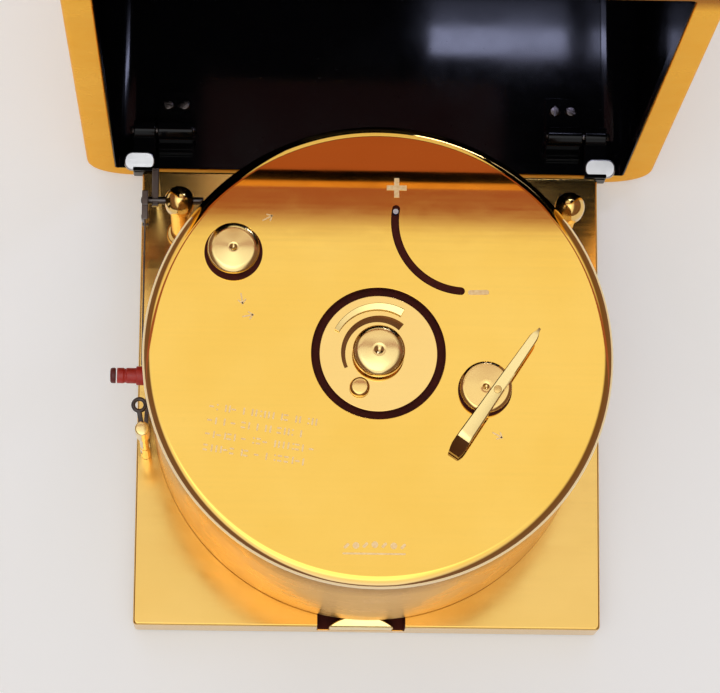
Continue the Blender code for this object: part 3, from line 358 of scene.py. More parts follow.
def stand_in(node, bm, material, body, name=None):
    """A finished piece that replaces a CAD node."""
    made = finish_faces(piece(name or f"{node}_fine", bm, material, body))
    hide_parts(node)


def turned_mesh(profile, sides, centre=(0, 0, 0)):
    """A turned surface from (radius, height) points; a point at radius 0 lies on the axis."""
    bm = bmesh.new()
    rings = []
    turns = [2 * math.pi * i / sides for i in range(sides)]
    for radius, height in profile:
        if radius <= 0:
            rings.append([bm.verts.new((centre[0], centre[1], height))] * sides)
        else:
            points = [(centre[0] + radius * math.cos(a), centre[1] + radius * math.sin(a), height) for a in turns]
            rings.append([bm.verts.new(p) for p in points])
    skin(bm, rings + [rings[0]])
    return bm


def skin(bm, rings):
    """Faces between each ring of vertices and the next; where corners meet, a face has fewer of them."""
    count = len(rings[0])
    for ring, after in zip(rings, rings[1:]):
        for k in range(count):
            j = (k + 1) % count
            corners = list(dict.fromkeys((ring[k], ring[j], after[j], after[k])))
            if len(corners) > 2:
                bm.faces.new(corners)


def lofted(rings, closed=False):
    """A skin over rings of points, joined into a loop when closed and otherwise with a face at each end."""
    bm = bmesh.new()
    rings = [[bm.verts.new(point) for point in ring] for ring in rings]
    skin(bm, rings + rings[:1] if closed else rings)
    if not closed:
        bm.faces.new(rings[0][::-1])
        bm.faces.new(rings[-1])
    return bm


def below(top, rows):
    """Profile corners from (radius, drop below the top, rounding), the first two in mm."""
    return [(radius * MM, top - drop * MM, share) for radius, drop, share in rows]


def round_outline(centre, radius, sides):
    return arc(centre, radius, 0, 2 * math.pi, sides)[:-1]


def rounded_profile(corners, radius, steps=5):
    """Rounds each (radius, height, round) corner of a profile; the third number scales the rounding."""
    made = []
    count = len(corners)
    for i, (x, z, share) in enumerate(corners):
        if not share:
            made.append((x, z))
            continue
        here = Vector((x, z))
        before = Vector(corners[i - 1][:2])
        after = Vector(corners[(i + 1) % count][:2])
        reach = min(radius * share, (here - before).length * 0.45, (here - after).length * 0.45)
        start = here + (before - here).normalized() * reach
        end = here + (after - here).normalized() * reach
        for k in range(steps + 1):
            t = k / steps
            point = start.lerp(here, t).lerp(here.lerp(end, t), t)
            made.append((point.x, point.y))
    return made


def arc(centre, radius, start, end, steps):
    turns = [start + (end - start) * i / steps for i in range(steps + 1)]
    return [(centre[0] + radius * math.cos(a), centre[1] + radius * math.sin(a)) for a in turns]


def band(route, width, taper=None):
    left, right = [], []
    for i, point in enumerate(route):
        before = Vector(route[max(i - 1, 0)])
        after = Vector(route[min(i + 1, len(route) - 1)])
        along = (after - before).normalized()
        half = (width if taper is None else width + (taper - width) * i / (len(route) - 1)) / 2
        across = Vector((-along.y, along.x)) * half
        left.append(tuple(Vector(point) + across))
        right.append(tuple(Vector(point) - across))
    return left + right[::-1]


def rounded_rectangle(width, height, corner, steps=10):
    points = []
    for quarter in range(4):
        x = (width / 2 - corner) * (1, -1, -1, 1)[quarter]
        y = (height / 2 - corner) * (1, 1, -1, -1)[quarter]
        points += arc((x, y), corner, quarter * math.pi / 2, (quarter + 1) * math.pi / 2, steps)
    return points


def prism(outline, bottom, top, edge=0.0, segments=3, upright=False):
    """An outline raised from bottom to top, its edges rounded. upright: the outline is in X and Z, raised along Y."""
    bm = bmesh.new()
    face = bm.faces.new([bm.verts.new((x, y, bottom)) for x, y in outline])
    raised = bmesh.ops.extrude_face_region(bm, geom=[face])["geom"]
    bmesh.ops.translate(bm, vec=(0, 0, top - bottom), verts=[v for v in raised if isinstance(v, bmesh.types.BMVert)])
    bmesh.ops.recalc_face_normals(bm, faces=bm.faces)
    if edge:
        sharp = [e for e in bm.edges if e.is_manifold and e.calc_face_angle(0) > math.radians(30)]
        bmesh.ops.bevel(bm, geom=sharp, offset=edge, segments=segments, profile=0.5, affect="EDGES")
    if upright:
        swapped = Matrix(((1, 0, 0, 0), (0, 0, 1, 0), (0, 1, 0, 0), (0, 0, 0, 1)))
        bmesh.ops.transform(bm, matrix=swapped, verts=bm.verts)
        bmesh.ops.recalc_face_normals(bm, faces=bm.faces)
    return bm


def merged(*meshes):
    """One bmesh of several, as separate closed shells."""
    whole = meshes[0]
    for other in meshes[1:]:
        scratch = bpy.data.meshes.new("scratch")
        other.to_mesh(scratch)
        other.free()
        whole.from_mesh(scratch)
        bpy.data.meshes.remove(scratch)
    return whole


def carve(obj, *cutters):
    """Cuts each bmesh out of the piece for good."""
    made = []
    for i, cutter in enumerate(cutters):
        bmesh.ops.recalc_face_normals(cutter, faces=cutter.faces)
        mesh = bpy.data.meshes.new("cutter")
        cutter.to_mesh(mesh)
        cutter.free()
        tool = show(f"cutter_{i}", mesh)
        modifier = obj.modifiers.new(f"cut_{i}", "BOOLEAN")
        modifier.operation = "DIFFERENCE"
        modifier.solver = "EXACT"
        modifier.object = tool
        made.append(tool)
    bpy.context.view_layer.update()
    evaluated = obj.evaluated_get(bpy.context.evaluated_depsgraph_get())
    mesh = bpy.data.meshes.new_from_object(evaluated)
    obj.modifiers.clear()
    obj.data = mesh
    for tool in made:
        bpy.data.objects.remove(tool)
    return finish_faces(obj)


def tube_along(points, radius, sides=20, rounded=True):
    """A round bar along a route of points, with rounded or flat ends."""
    stations = []
    count = len(points)
    ends = [(0.02, 0.35), (0.12, 0.75), (0.4, 0.97)] if rounded else []
    for i, point in enumerate(points):
        here = Vector(point)
        along = (Vector(points[min(i + 1, count - 1)]) - Vector(points[max(i - 1, 0)])).normalized()
        if i == 0:
            stations += [(here + along * radius * a, along, radius * s) for a, s in ends]
            here = here + along * radius if ends else here
        if i == count - 1 and ends:
            here = here - along * radius
        stations.append((here, along, radius))
        if i == count - 1:
            tip = Vector(point)
            stations += [(tip - along * radius * a, along, radius * s) for a, s in reversed(ends)]
    side = Vector((0, 0, 1)) if abs(stations[0][1].z) < 0.9 else Vector((1, 0, 0))
    rings = []
    for here, along, size in stations:
        across = side.cross(along).normalized()
        side = along.cross(across).normalized()
        turns = [2 * math.pi * k / sides for k in range(sides)]
        rings.append([here + (across * math.cos(a) + side * math.sin(a)) * size for a in turns])
    return lofted(rings)


def moved(bm, matrix):
    bmesh.ops.transform(bm, matrix=matrix, verts=bm.verts)
    return bm


def at(x, y, z=0.0, turn=0.0):
    return Matrix.Translation((x, y, z)) @ Matrix.Rotation(turn, 4, "Z")


dress_frame()


# Drum


DRUM_LOW, DRUM_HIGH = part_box("drum_shell")
CAP_TOP = DRUM_HIGH.z
LIP = DRUM_HIGH.x
WALL = LIP - 0.7 * MM
KNOB = centre_of("set_knob")
WINDING = centre_of("winding_hub")
NUT_LOW, NUT_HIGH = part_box("spindle_nut")
HUB_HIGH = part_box("drum_hub")[1]
HUB_RADIUS = HUB_HIGH.x
HOLE_RADIUS = HUB_RADIUS + 1.6 * MM
JOINTS = {joint["name"]: joint for joint in frame["joints"]}
BALANCE = Vector(JOINTS["regulator_turn"]["pos_m"])
SLOT_RADIUS = 14.2 * MM
SLOT_FROM, SLOT_TO = math.radians(170), math.radians(266)


def drum_cap():
    """The cap: a flat brushed top, a rolled edge and a short skirt, cut for the slot, the knob and the key."""
    turns = [math.pi / 2 * k / 12 for k in range(13)]
    wide, deep = 2.4 * MM, 1.7 * MM
    rolled = [(LIP - wide * (1 - math.sin(a)), CAP_TOP - deep * (1 - math.cos(a)), 0) for a in turns]
    skirt = WALL / MM
    corners = [(HOLE_RADIUS, CAP_TOP, 0.06)] + rolled
    corners += below(CAP_TOP, (
        (LIP / MM, 2.0, 0), (skirt + 0.1, 2.2, 0), (skirt - 0.8, 1.6, 0), (skirt - 0.8, 1.2, 0),
        (HOLE_RADIUS / MM, 1.2, 0),
    ))
    cap = piece("drum_cap", turned_mesh(rounded_profile(corners, 2 * MM, 10), ROUND), "cap", "drum")
    low, high = CAP_TOP - 3 * MM, CAP_TOP + 1 * MM
    route = slot_arc(0, 0)
    ends = [arc(p, 0.8 * MM, a, a + math.pi, 8) for p, a in ((route[0], SLOT_FROM + math.pi), (route[-1], SLOT_TO))]
    holes = [round_outline((KNOB.x, KNOB.y), 1.9 * MM, 32), round_outline((WINDING.x, WINDING.y), 2.1 * MM, 32)]
    carve(cap, *[prism(shape, low, high) for shape in (band(route, 1.6 * MM), *ends, *holes)])
    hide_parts("drum_shell")


def slot_arc(shift, past):
    """The middle line of the regulator's slot, moved outwards and drawn on past both ends."""
    return arc((BALANCE.x, BALANCE.y), SLOT_RADIUS + shift, SLOT_FROM - past, SLOT_TO + past, 40)


def drum_wall():
    low, top = DRUM_LOW.z, CAP_TOP - 2.3 * MM
    inner = WALL - 0.9 * MM
    corners = [(WALL, top, 0.3), (WALL, low, 0.6), (inner, low, 0.6), (inner, top, 0.3)]
    wall = turned_mesh(rounded_profile(corners, 0.4 * MM, 3), ROUND)
    stand_in("drum_shell", wall, "wall", "drum", "drum_wall")


def shade_floors():
    """Dark pieces as painted shade: what shows down the slot and the gap round the hub, and dark rings as painted
    shadow under the knob and the key.
    """
    inner, outer, deep = HUB_RADIUS - 0.6 * MM, HOLE_RADIUS + 0.5 * MM, CAP_TOP - 2.3 * MM
    ring = [(inner, deep), (outer, deep), (outer, deep - 0.5 * MM), (inner, deep - 0.5 * MM)]
    piece("hub_gap_shade", turned_mesh(ring, ROUND), "shade_dark", "drum")
    # Painted shadow: a dark ring round the foot of the knob and of the key.
    for name, place, radius in (("knob_shadow_ring", KNOB, 5.8), ("key_shadow_ring", WINDING, 5.35)):
        corners = below(CAP_TOP, ((2.6, -0.25, 0), (radius, -0.25, 1), (radius, 0, 0), (2.6, 0, 0)))
        shadow_ring = turned_mesh(rounded_profile(corners, 0.15 * MM, 3), SMALL_ROUND, place)
        piece(name, shadow_ring, "shade_dark", "drum")
    # Painted shade: dark sides and a dark floor down the regulator's slot.
    sides = [band(slot_arc(s * 1.2 * MM, 0), 0.6 * MM) for s in (-1, 1)]
    shade_sides = merged(*[prism(side, CAP_TOP - 3.4 * MM, CAP_TOP - 1.25 * MM) for side in sides])
    piece("slot_shade_sides", shade_sides, "shade_dark", "drum")
    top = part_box("upper_plate")[1].z
    shade_floor = prism(band(slot_arc(0, 0.06), 5.5 * MM), top + 0.15 * MM, top + 0.55 * MM)
    piece("slot_shade_floor", shade_floor, "shade_dark", "drum")


def hub_disc():
    """The bright disc in the middle, with its curved recess, whose dark floor is painted shade."""
    low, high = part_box("drum_hub")
    bore, top, rim = 2.8 * MM, high.z, HUB_RADIUS / MM
    corners = [(bore, top, 0.2), *below(top, (
        (rim, 0, 0.3), (rim, 1.6, 0.3), (6, 2.8, 0), (6, 5.3, 0), (3.5, 5.4, 0),
    )), (3.5 * MM, low.z, 0), (bore, low.z, 0)]
    turned = turned_mesh(rounded_profile(corners, 0.4 * MM, 4), ROUND)
    disc = piece("hub_disc", turned, "cap", "drum")
    route = arc((0, 0), 7.0 * MM, math.radians(50), math.radians(205), 40)
    carve(disc, prism(band(route, 1.6 * MM, 0.7 * MM), top - 1.0 * MM, top + 1 * MM))
    # Painted shade: a dark floor under the curved recess.
    floor = prism(band(route, 1.8 * MM, 0.9 * MM), top - 1.15 * MM, top - 0.9 * MM)
    piece("hub_recess_shade", floor, "painted_shade", "drum")
    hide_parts("drum_hub")


def nut():
    """A domed nut, dimpled at its top."""
    low, high = NUT_LOW.z, NUT_HIGH.z
    radius = (NUT_HIGH.x - NUT_LOW.x) / 2
    size = radius / (5.2 * MM)
    dimple = ((0, 0.5), (0.4, 0.42), (0.8, 0.15), (1.1, 0.03))
    dome = ((1.5, 0.05), (2.5, 0.13), (3.5, 0.215), (4.2, 0.32), (4.7, 0.55), (5.05, 1.0), (5.17, 1.5))
    profile = [(r * MM, high - drop * MM) for r, drop in dimple]
    profile += [(size * r * MM, high - drop * MM) for r, drop in dome]
    profile += [(radius, low + 0.5 * MM), (radius - 0.2 * MM, low + 0.1 * MM), (3.2 * MM, low)]
    profile += [(2.2 * MM, low), (2.2 * MM, high - 1.7 * MM), (0, high - 1.7 * MM)]
    stand_in("spindle_nut", turned_mesh(profile, SMALL_ROUND), "bright", "base")


def time_lever():
    low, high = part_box("time_lever")
    thick = 0.8 * MM
    collar = prism(round_outline((0, 0), 6.0 * MM, 56), low.z, low.z + 0.35 * MM, 0.1 * MM)
    end = Vector((-3.7 * MM, -7.0 * MM))
    route = [tuple(end * (k / 6)) for k in range(7)]
    arm = prism(band(route, 2.9 * MM, 1.9 * MM), low.z + 0.1 * MM, low.z + thick, 0.2 * MM)
    wide = 2.0 * MM
    corners = [(0, high.z, 0), (1.7 * MM, high.z, 1), (wide, low.z + 0.7 * MM, 0.6), (wide, low.z, 0), (0, low.z, 0)]
    pad = turned_mesh(rounded_profile(corners, 0.35 * MM, 4), 40, (end.x, end.y, 0))
    made = piece("time_lever_fine", merged(collar, arm, pad), "polished", "time_lever")
    carve(made, prism(round_outline((0, 0), 2.8 * MM, 40), low.z - 1 * MM, low.z + 2 * MM))
    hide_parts("time_lever")


def hub_leaf_spring():
    """The leaf spring, curved round the back of the hub, its top leaning slightly inwards."""
    low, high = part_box("hub_spring")
    start, end, middle = math.radians(60), math.radians(152), 9.4 * MM
    rings = []
    for k in range(41):
        turn = start + (end - start) * k / 40
        half = 0.78 * MM * (1 - 0.35 * k / 40)
        section = ((-1, low.z), (1, low.z), (1, high.z - 0.1 * MM))
        section += ((0.85, high.z), (-0.9, high.z - 0.2 * MM), (-1, high.z - 0.3 * MM))
        reach = [(middle + half * share, z) for share, z in section]
        rings.append([(r * math.cos(turn), r * math.sin(turn), z) for r, z in reach])
    stand_in("hub_spring", lofted(rings), "bright", "drum")


def set_knob():
    low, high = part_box("set_knob")
    rim = (high.x - low.x) / 2 / MM
    corners = below(high.z, (
        (0, 0.5, 0), (0.3, 0.42, 0), (0.7, 0.06, 0.4), (1.0, 0, 0.6), (4.2, 0.26, 0.8), (rim - 0.2, 0.65, 0.8),
        (rim, 1.2, 0.6), (rim - 0.1, 1.7, 0.4), (3.3, 2.1, 0.3), (3.3, 4.2, 0), (1.5, 4.2, 0),
    ))
    corners += [(1.5 * MM, low.z, 0), (0, low.z, 0)]
    knob = turned_mesh(rounded_profile(corners, 0.7 * MM, 5), SMALL_ROUND, KNOB)
    stand_in("set_knob", knob, "bright", "set_knob")


def winding_hub():
    low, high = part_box("winding_hub")
    rim = (high.x - low.x) / 2 / MM
    corners = below(high.z, (
        (0, 0.35, 0), (0.35, 0.3, 0), (0.6, 0.05, 0.4), (1.2, 0, 0.6), (rim - 0.6, 0.05, 0.6), (rim, 0.5, 0.6),
        (rim - 0.2, 1.4, 0.4), (3.4, 1.7, 0.3), (3.4, 3.2, 0), (1.7, 3.2, 0),
    ))
    corners += [(1.7 * MM, low.z, 0), (0, low.z, 0)]
    hub = turned_mesh(rounded_profile(corners, 0.5 * MM, 5), SMALL_ROUND, WINDING)
    stand_in("winding_hub", hub, "polished", "winding_key")


KEY_TURN = math.radians(56)


def key_bar():
    """The flat bar of the key: wide at one end, where it is bent down and coloured dark as painted shade, and drawn
    out to a point at the other.
    """
    low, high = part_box("key_bar")
    offset = -2.3 * MM
    start, length = -14.6 * MM, 29.9 * MM
    sections = []
    for k in range(41):
        t = k / 40
        wide = (1.58 - 0.78 * t) * MM * min(1.0, max(0.3, (1 - t) / 0.06))
        wide *= min(1.0, 0.75 + t / 0.04 * 0.25)
        drop = 3.2 * MM * max(0.0, (0.115 - t) / 0.115) ** 1.15
        top, bottom = high.z - drop, low.z - drop
        lean = 0.30 * MM * (1 - 0.4 * t)
        section = ((-wide, bottom), (wide, bottom), (wide, top - 0.2 * MM), (wide * 0.86, top - 0.02 * MM))
        section += ((-wide * 0.8, top - lean), (-wide, top - lean - 0.25 * MM))
        sections.append([(start + length * t, offset + y, z) for y, z in section])
    lie = at(WINDING.x, WINDING.y, 0, KEY_TURN)
    # The bent end takes the dark brown brass as painted shade.
    for name, run, material in (("key_bar_fine", sections[4:], "bright"), ("key_bar_end_shade", sections[:5], "painted_shade")):
        stand_in("key_bar", moved(lofted(run), lie), material, "winding_key", name=name)
    spot = lie @ Vector((0.4 * MM, offset, 0))
    corners = [(0, high.z, 0), (0.8 * MM, high.z - 0.02 * MM, 0.5), (0.85 * MM, low.z, 0), (0, low.z, 0)]
    rivet = turned_mesh(rounded_profile(corners, 0.2 * MM, 3), 32, spot)
    piece("key_rivet", rivet, "movement", "winding_key")


def regulator():
    """The index as the frame has it, with a smooth round tip above the cap."""
    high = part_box("regulator_index")[1]
    start = SLOT_FROM + math.radians(3)
    tip = BALANCE + Vector((math.cos(start), math.sin(start), 0)) * SLOT_RADIUS
    radius, low = 0.65 * MM, CAP_TOP + 0.1 * MM
    corners = [(0, high.z, 0), (radius, high.z - 0.12 * MM, 0.8), (radius, low, 0), (0, low, 0)]
    cap = turned_mesh(rounded_profile(corners, 0.2 * MM, 3), 32, tip)
    piece("index_cap", cap, "blued", "regulator_index")


# Engraved marks on the cap


def mark(name, shapes, raised=0.04):
    """Stamped marks: each shows as a thin matt plate level with the brass."""
    plates = [prism(shape, CAP_TOP - 0.1 * MM, CAP_TOP + raised * MM) for shape in shapes]
    piece(name, merged(*plates), "engraved", "drum")


def stroke(x, y, length, width, turn=0.0):
    corners = rounded_rectangle(length, width, min(length, width) * 0.45, 4)
    spin = Matrix.Rotation(turn, 2)
    return [tuple(spin @ Vector(p) + Vector((x, y))) for p in corners]


def dashes():
    """Four rows of short upright and level strokes, and a small ornament of lozenges at the front."""
    pick = random.Random(7)
    rows = []
    slope = math.radians(-8)
    spin = Matrix.Rotation(slope, 2)
    origin = Vector((-32.8, -11.2)) * MM
    for row, length in enumerate((21.5, 18.6, 20.8, 19.6)):
        x = 0.0
        while x < length:
            kind = pick.choice("||-:|=")
            here = origin + spin @ Vector((x * MM, -2.75 * row * MM))
            if kind == "|":
                rows.append(stroke(here.x, here.y, 0.34 * MM, 1.45 * MM, slope))
            elif kind == "-":
                rows.append(stroke(here.x, here.y, 0.95 * MM, 0.36 * MM, slope))
            else:
                for side in (-1, 1):
                    spot = here + spin @ Vector((0, side * 0.48 * MM))
                    rows.append(stroke(spot.x, spot.y, (0.4 if kind == ":" else 0.9) * MM, 0.36 * MM, slope))
            x += (0.78 if kind in "|:" else 1.15) + pick.choice((0.0, 0.15, 0.9))
    mark("stamped_rows", rows)
    shapes = []
    for k in range(7):
        x, y = (-6.0 + 1.85 * k) * MM, (-38.3 - 0.1 * abs(k - 3)) * MM
        shapes.append(stroke(x, y, 1.3 * MM, 1.3 * MM if k % 2 else 0.6 * MM, math.pi / 4))
    shapes.append(stroke(-0.6 * MM, -40.1 * MM, 12.4 * MM, 0.35 * MM))
    mark("stamped_ornament", shapes)


def signs():
    """The plus and minus beside the regulator's slot, and the arrows by the knob and the key."""
    plus = Vector((3.4, 33.8)) * MM
    minus = Vector((19.8, 12.6)) * MM
    quarter = [(2.0, -0.5), (2.0, 0.5), (0.5, 0.5)]
    cross = []
    for _ in range(4):
        cross += [(plus.x + x * MM, plus.y + y * MM) for x, y in quarter]
        quarter = [(-y, x) for x, y in quarter]
    mark("plus_sign", [cross], 0.12)
    mark("minus_sign", [stroke(minus.x, minus.y, 4.2 * MM, 0.95 * MM, 0.03)], 0.12)
    arrows = []
    for x, y, turn in ((-27.2, 10.6, -1.4), (-25.9, 7.2, 0.2), (-22.3, 27.2, 0.5), (23.6, -16.2, -0.5)):
        spot = Vector((x, y)) * MM
        spin = Matrix.Rotation(turn, 2)
        arrows.append(stroke(spot.x, spot.y, 2.4 * MM, 0.3 * MM, turn))
        head = spot + spin @ Vector((1.0 * MM, 0))
        for side in (-1, 1):
            wing = head + spin @ Vector((-0.45 * MM, side * 0.4 * MM))
            arrows.append(stroke(wing.x, wing.y, 1.2 * MM, 0.28 * MM, turn - side * 0.75))
    mark("arrows", arrows)


# Base


PLATE_LOW, PLATE_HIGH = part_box("base_plate")


def base_plate():
    """Polished plate with its square edges just broken."""
    size = PLATE_HIGH - PLATE_LOW
    middle = (PLATE_HIGH + PLATE_LOW) / 2
    steps = [(0.3, PLATE_LOW.z), (0.0, PLATE_LOW.z + 0.3 * MM)]
    steps += [(inset, PLATE_HIGH.z - drop * MM) for inset, drop in ((0, 0.5), (0.07, 0.24), (0.26, 0.06), (0.45, 0))]
    rings = []
    for inset, z in steps:
        outline = rounded_rectangle(size.x - 2 * inset * MM, size.y - 2 * inset * MM, 0.8 * MM, 5)
        rings.append([(x + middle.x, y + middle.y, z) for x, y in outline])
    plate = piece("base_plate_fine", lofted(rings), "plate", "base")
    catch_low, catch_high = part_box("front_catch")
    x = (catch_low.x + catch_high.x) / 2
    front = PLATE_LOW.y
    pocket = rounded_rectangle(18.6 * MM, 8.8 * MM, 0.6 * MM, 4)
    recess = moved(prism(pocket, PLATE_LOW.z + 3.2 * MM, PLATE_HIGH.z + 2 * MM), at(x, front))
    lever = JOINTS["transfer_lever_pivot"]
    axis = Vector(lever["axis"])
    turn = math.atan2(axis.y, axis.x) + math.pi / 2
    pivot = Vector(lever["pos_m"])
    channel = rounded_rectangle(60 * MM, 6 * MM, 1 * MM, 3)
    under = moved(prism(channel, -2 * MM, 8.2 * MM), at(pivot.x, pivot.y, 0, turn) @ at(8 * MM, 0))
    height = pivot.z + 2.3 * MM
    stem_bore = tube_along([(x, front + 3 * MM, height), (x, front + 12 * MM, height)], 1.6 * MM, 24, False)
    carve(plate, recess, under, stem_bore)
    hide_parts("base_plate")
    # Painted shade: thin dark walls and a dark floor inside the catch's recess.
    bottom = PLATE_LOW.z + 3.2 * MM
    edges = (x - 9.22 * MM, x + 9.22 * MM)
    sides = [band([(edge, front + 0.1 * MM), (edge, front + 4.3 * MM)], 0.14 * MM) for edge in edges]
    shells = [prism(side, bottom, PLATE_HIGH.z - 0.3 * MM) for side in sides]
    floor = rounded_rectangle(18.3 * MM, 4.0 * MM, 0.3 * MM, 3)
    shells.append(moved(prism(floor, bottom + 0.01 * MM, bottom + 0.15 * MM), at(x, front + 2.2 * MM)))
    piece("catch_pocket_shade", merged(*shells), "shade_dark", "base")


def front_catch():
    low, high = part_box("front_catch")
    half = (high.x - low.x) / 2
    x, front = (low.x + high.x) / 2, low.y
    rise = 2.3 * MM
    radius = (half * half + rise * rise) / (2 * rise)
    spread = math.asin(half / radius)
    centre = (x, front + 0.3 * MM - radius * math.cos(spread))
    outline = arc(centre, radius, math.pi / 2 - spread, math.pi / 2 + spread, 40)
    outline += [(x - half, front), (x + half, front)]
    bm = prism(outline, low.z, 9.7 * MM, 0.3 * MM, 4)
    for vert in bm.verts:
        if vert.co.z > low.z + 1 * MM:
            vert.co.z -= 0.13 * (front + 3.6 * MM - vert.co.y)
    stand_in("front_catch", bm, "bright", "front_catch")
    stem = tube_along([(x, front + 2 * MM, 6.8 * MM), (x, high.y, 6.8 * MM)], 0.9 * MM)
    piece("catch_stem", stem, "polished", "front_catch")


def rear_post(side):
    node = f"rear_post_{side}"
    low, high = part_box(node)
    place = centre_of(node)
    radius = 3.1 * MM
    head = high.z - radius
    turns = [0.2 * k for k in range(1, 8)] + [1.57]
    profile = [(0, high.z)] + [(radius * math.sin(a), head + radius * math.cos(a)) for a in turns]
    corners = below(head, ((3.1, 2.4, 0.5), (2.1, 3.6, 0.8)))
    corners += below(low.z, ((2.1, -2.6, 0.9), (3.1, -1.5, 0.6), (3.2, 0, 0.2), (0, 0, 0)))
    rounded = rounded_profile([(radius, head, 0)] + corners, 0.8 * MM, 4)[1:]
    post = piece(f"{node}_fine", turned_mesh(profile + rounded, 48, place), "polished", "base")
    finish_faces(post)
    if side == "left":
        bore = [(place.x - 6 * MM, place.y, head), (place.x + 6 * MM, place.y, head)]
        carve(post, tube_along(bore, 1.1 * MM, 24, False))
    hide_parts(node)


def lifter():
    low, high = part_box("pen_lifter")
    pivot = JOINTS["pen_lifter_turn"]["pos_m"]
    tip = (-46.45 * MM, 6.5 * MM)
    corners = below(40 * MM, ((0, 0, 0), (1.5, 0, 1), (1.5, 7, 1), (0.9, 7.4, 0)))
    corners += [(0.9 * MM, low.z, 0.5), (0, low.z, 0)]
    hub = turned_mesh(rounded_profile(corners, 0.4 * MM, 4), 40, (pivot[0], pivot[1], 0))
    arm = prism(band([(pivot[0], pivot[1]), tip], 0.9 * MM), low.z, low.z + 1.4 * MM, 0.15 * MM)
    pin = tube_along([(*tip, low.z + 0.2 * MM), (*tip, high.z)], 0.45 * MM)
    loop_x, loop_y = pivot[0] - 0.8 * MM, -5.5 * MM
    stalk = prism(band([(pivot[0], pivot[1]), (loop_x, loop_y - 1.3 * MM)], 1.0 * MM), 35 * MM, 36 * MM, 0.2 * MM)
    loop = turned_mesh(round_outline((1.25 * MM, 35.5 * MM), 0.42 * MM, 16), 40, (loop_x, loop_y, 0))
    stand_in("pen_lifter", merged(arm, pin, stalk, loop), "dark_steel", "pen_lifter")
    finish_faces(piece("lifter_tube", hub, "bright", "pen_lifter"))


def pen_arm():
    """The arm: a thin steel blade on a gate tube, a collar that holds the pen, and the fork it hangs in."""
    blade_x, gate_y, _ = JOINTS["arm_gate"]["pos_m"]
    _, swing_y, axis_z = JOINTS["arm_swing"]["pos_m"]
    pen_y, pen_z = -0.3 * MM, 40 * MM

    def bar(x, start, end, width, low, high, edge):
        """A flat bar along Y, its height given in mm from the arbor's axis."""
        return prism(band([(x, start), (x, end)], width * MM), axis_z + low * MM, axis_z + high * MM, edge * MM)

    high, low = axis_z + 2.4 * MM, axis_z - 1 * MM
    corners = [(0, high, 0), (0.8 * MM, high, 0.6), (0.8 * MM, low, 0.6), (0, low, 0)]
    tube = turned_mesh(rounded_profile(corners, 0.2 * MM, 3), 32, (blade_x, gate_y, 0))
    blade = bar(blade_x, gate_y, pen_y + 2.2 * MM, 0.32, -0.4, 2, 0.08)
    stand_in("pen_arm", merged(tube, blade), "dark_steel", "pen_arm")
    lie = Matrix.Translation((0, pen_y, pen_z)) @ Matrix.Rotation(math.pi / 2, 4, "Y")
    inner, outer, near, far = 1.65 * MM, 1.95 * MM, blade_x + 0.5 * MM, blade_x - 1.1 * MM
    ends = [(inner, near, 0.6), (outer, near, 0.6), (outer, far, 0.6), (inner, far, 0.6)]
    collar = moved(turned_mesh(rounded_profile(ends, 0.3 * MM, 3), 48), lie)
    finish_faces(piece("pen_collar", collar, "red", "pen_arm"))
    end_x, crank_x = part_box("arm_arbor")[1].x, -45.5 * MM
    rod = tube_along([(blade_x - 1 * MM, swing_y, axis_z), (end_x, swing_y, axis_z)], 0.8 * MM)
    web = bar(blade_x, swing_y + 1.2 * MM, gate_y + 2.0 * MM, 1.3, -2.4, 3.8, 0.2)
    jaws = [bar(blade_x, gate_y + 2.2 * MM, gate_y - 1 * MM, 1.3, a, b, 0.2) for a, b in ((-2.4, -1.5), (2.9, 3.8))]
    crank = bar(crank_x, swing_y - 1.3 * MM, swing_y + 6.8 * MM, 1.4, -0.75, 0.75, 0.2)
    stand_in("arm_arbor", merged(rod, web, *jaws, crank), "dark_steel", "arm_arbor")


def pen():
    low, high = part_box("pen")
    plug_low, plug_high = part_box("pen_plug")
    middle = (low + high) / 2
    radius = (high.z - low.z) / 2
    body, groove = radius / MM, radius / MM - 0.15
    corners = below(high.x, (
        (0, 0, 0), (0.3, 0.1, 0.3), (0.5, 0.9, 0.5), (1.5, 1.6, 0.7), (body, 2.0, 0.5),
    ))
    corners += below(low.x, ((body, -2.0, 0.3), (groove, -1.8, 0.3), (groove, -1.5, 0.3), (body, -1.3, 0.3)))
    corners += [(radius, low.x, 0.2), (0, low.x, 0)]
    lie = Matrix.Translation((0, middle.y, middle.z)) @ Matrix.Rotation(math.pi / 2, 4, "Y")
    barrel = moved(turned_mesh(rounded_profile(corners, 0.3 * MM, 3), 48), lie)
    stand_in("pen", barrel, "red", "pen_arm")
    ends = [(0, plug_high.x, 0), (radius, plug_high.x, 0.4), (radius, plug_low.x, 1), (0, plug_low.x, 0)]
    plug = moved(turned_mesh(rounded_profile(ends, 0.5 * MM, 4), 48), lie)
    stand_in("pen_plug", plug, "black", "pen_arm")


# Cover


RIM_LOW, RIM_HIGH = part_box("cover_rim")
COVER_MIDDLE = (RIM_LOW + RIM_HIGH) / 2
CORNER = 10.5 * MM


def framed(outer, inner, section, place):
    """A frame: a section of (share of the way from the outer outline to the inner, depth), placed point by point."""
    rings = []
    for share, depth in section:
        points = [(a[0] + (b[0] - a[0]) * share, a[1] + (b[1] - a[1]) * share) for a, b in zip(outer, inner)]
        rings.append([place(*point, depth) for point in points])
    return lofted(rings, closed=True)


def upright(x, z, y):
    return (x + COVER_MIDDLE.x, y, z + COVER_MIDDLE.z)


def cover_ring(width, height, corner, y):
    return [upright(x, z, y) for x, z in rounded_rectangle(width, height, corner, 14)]


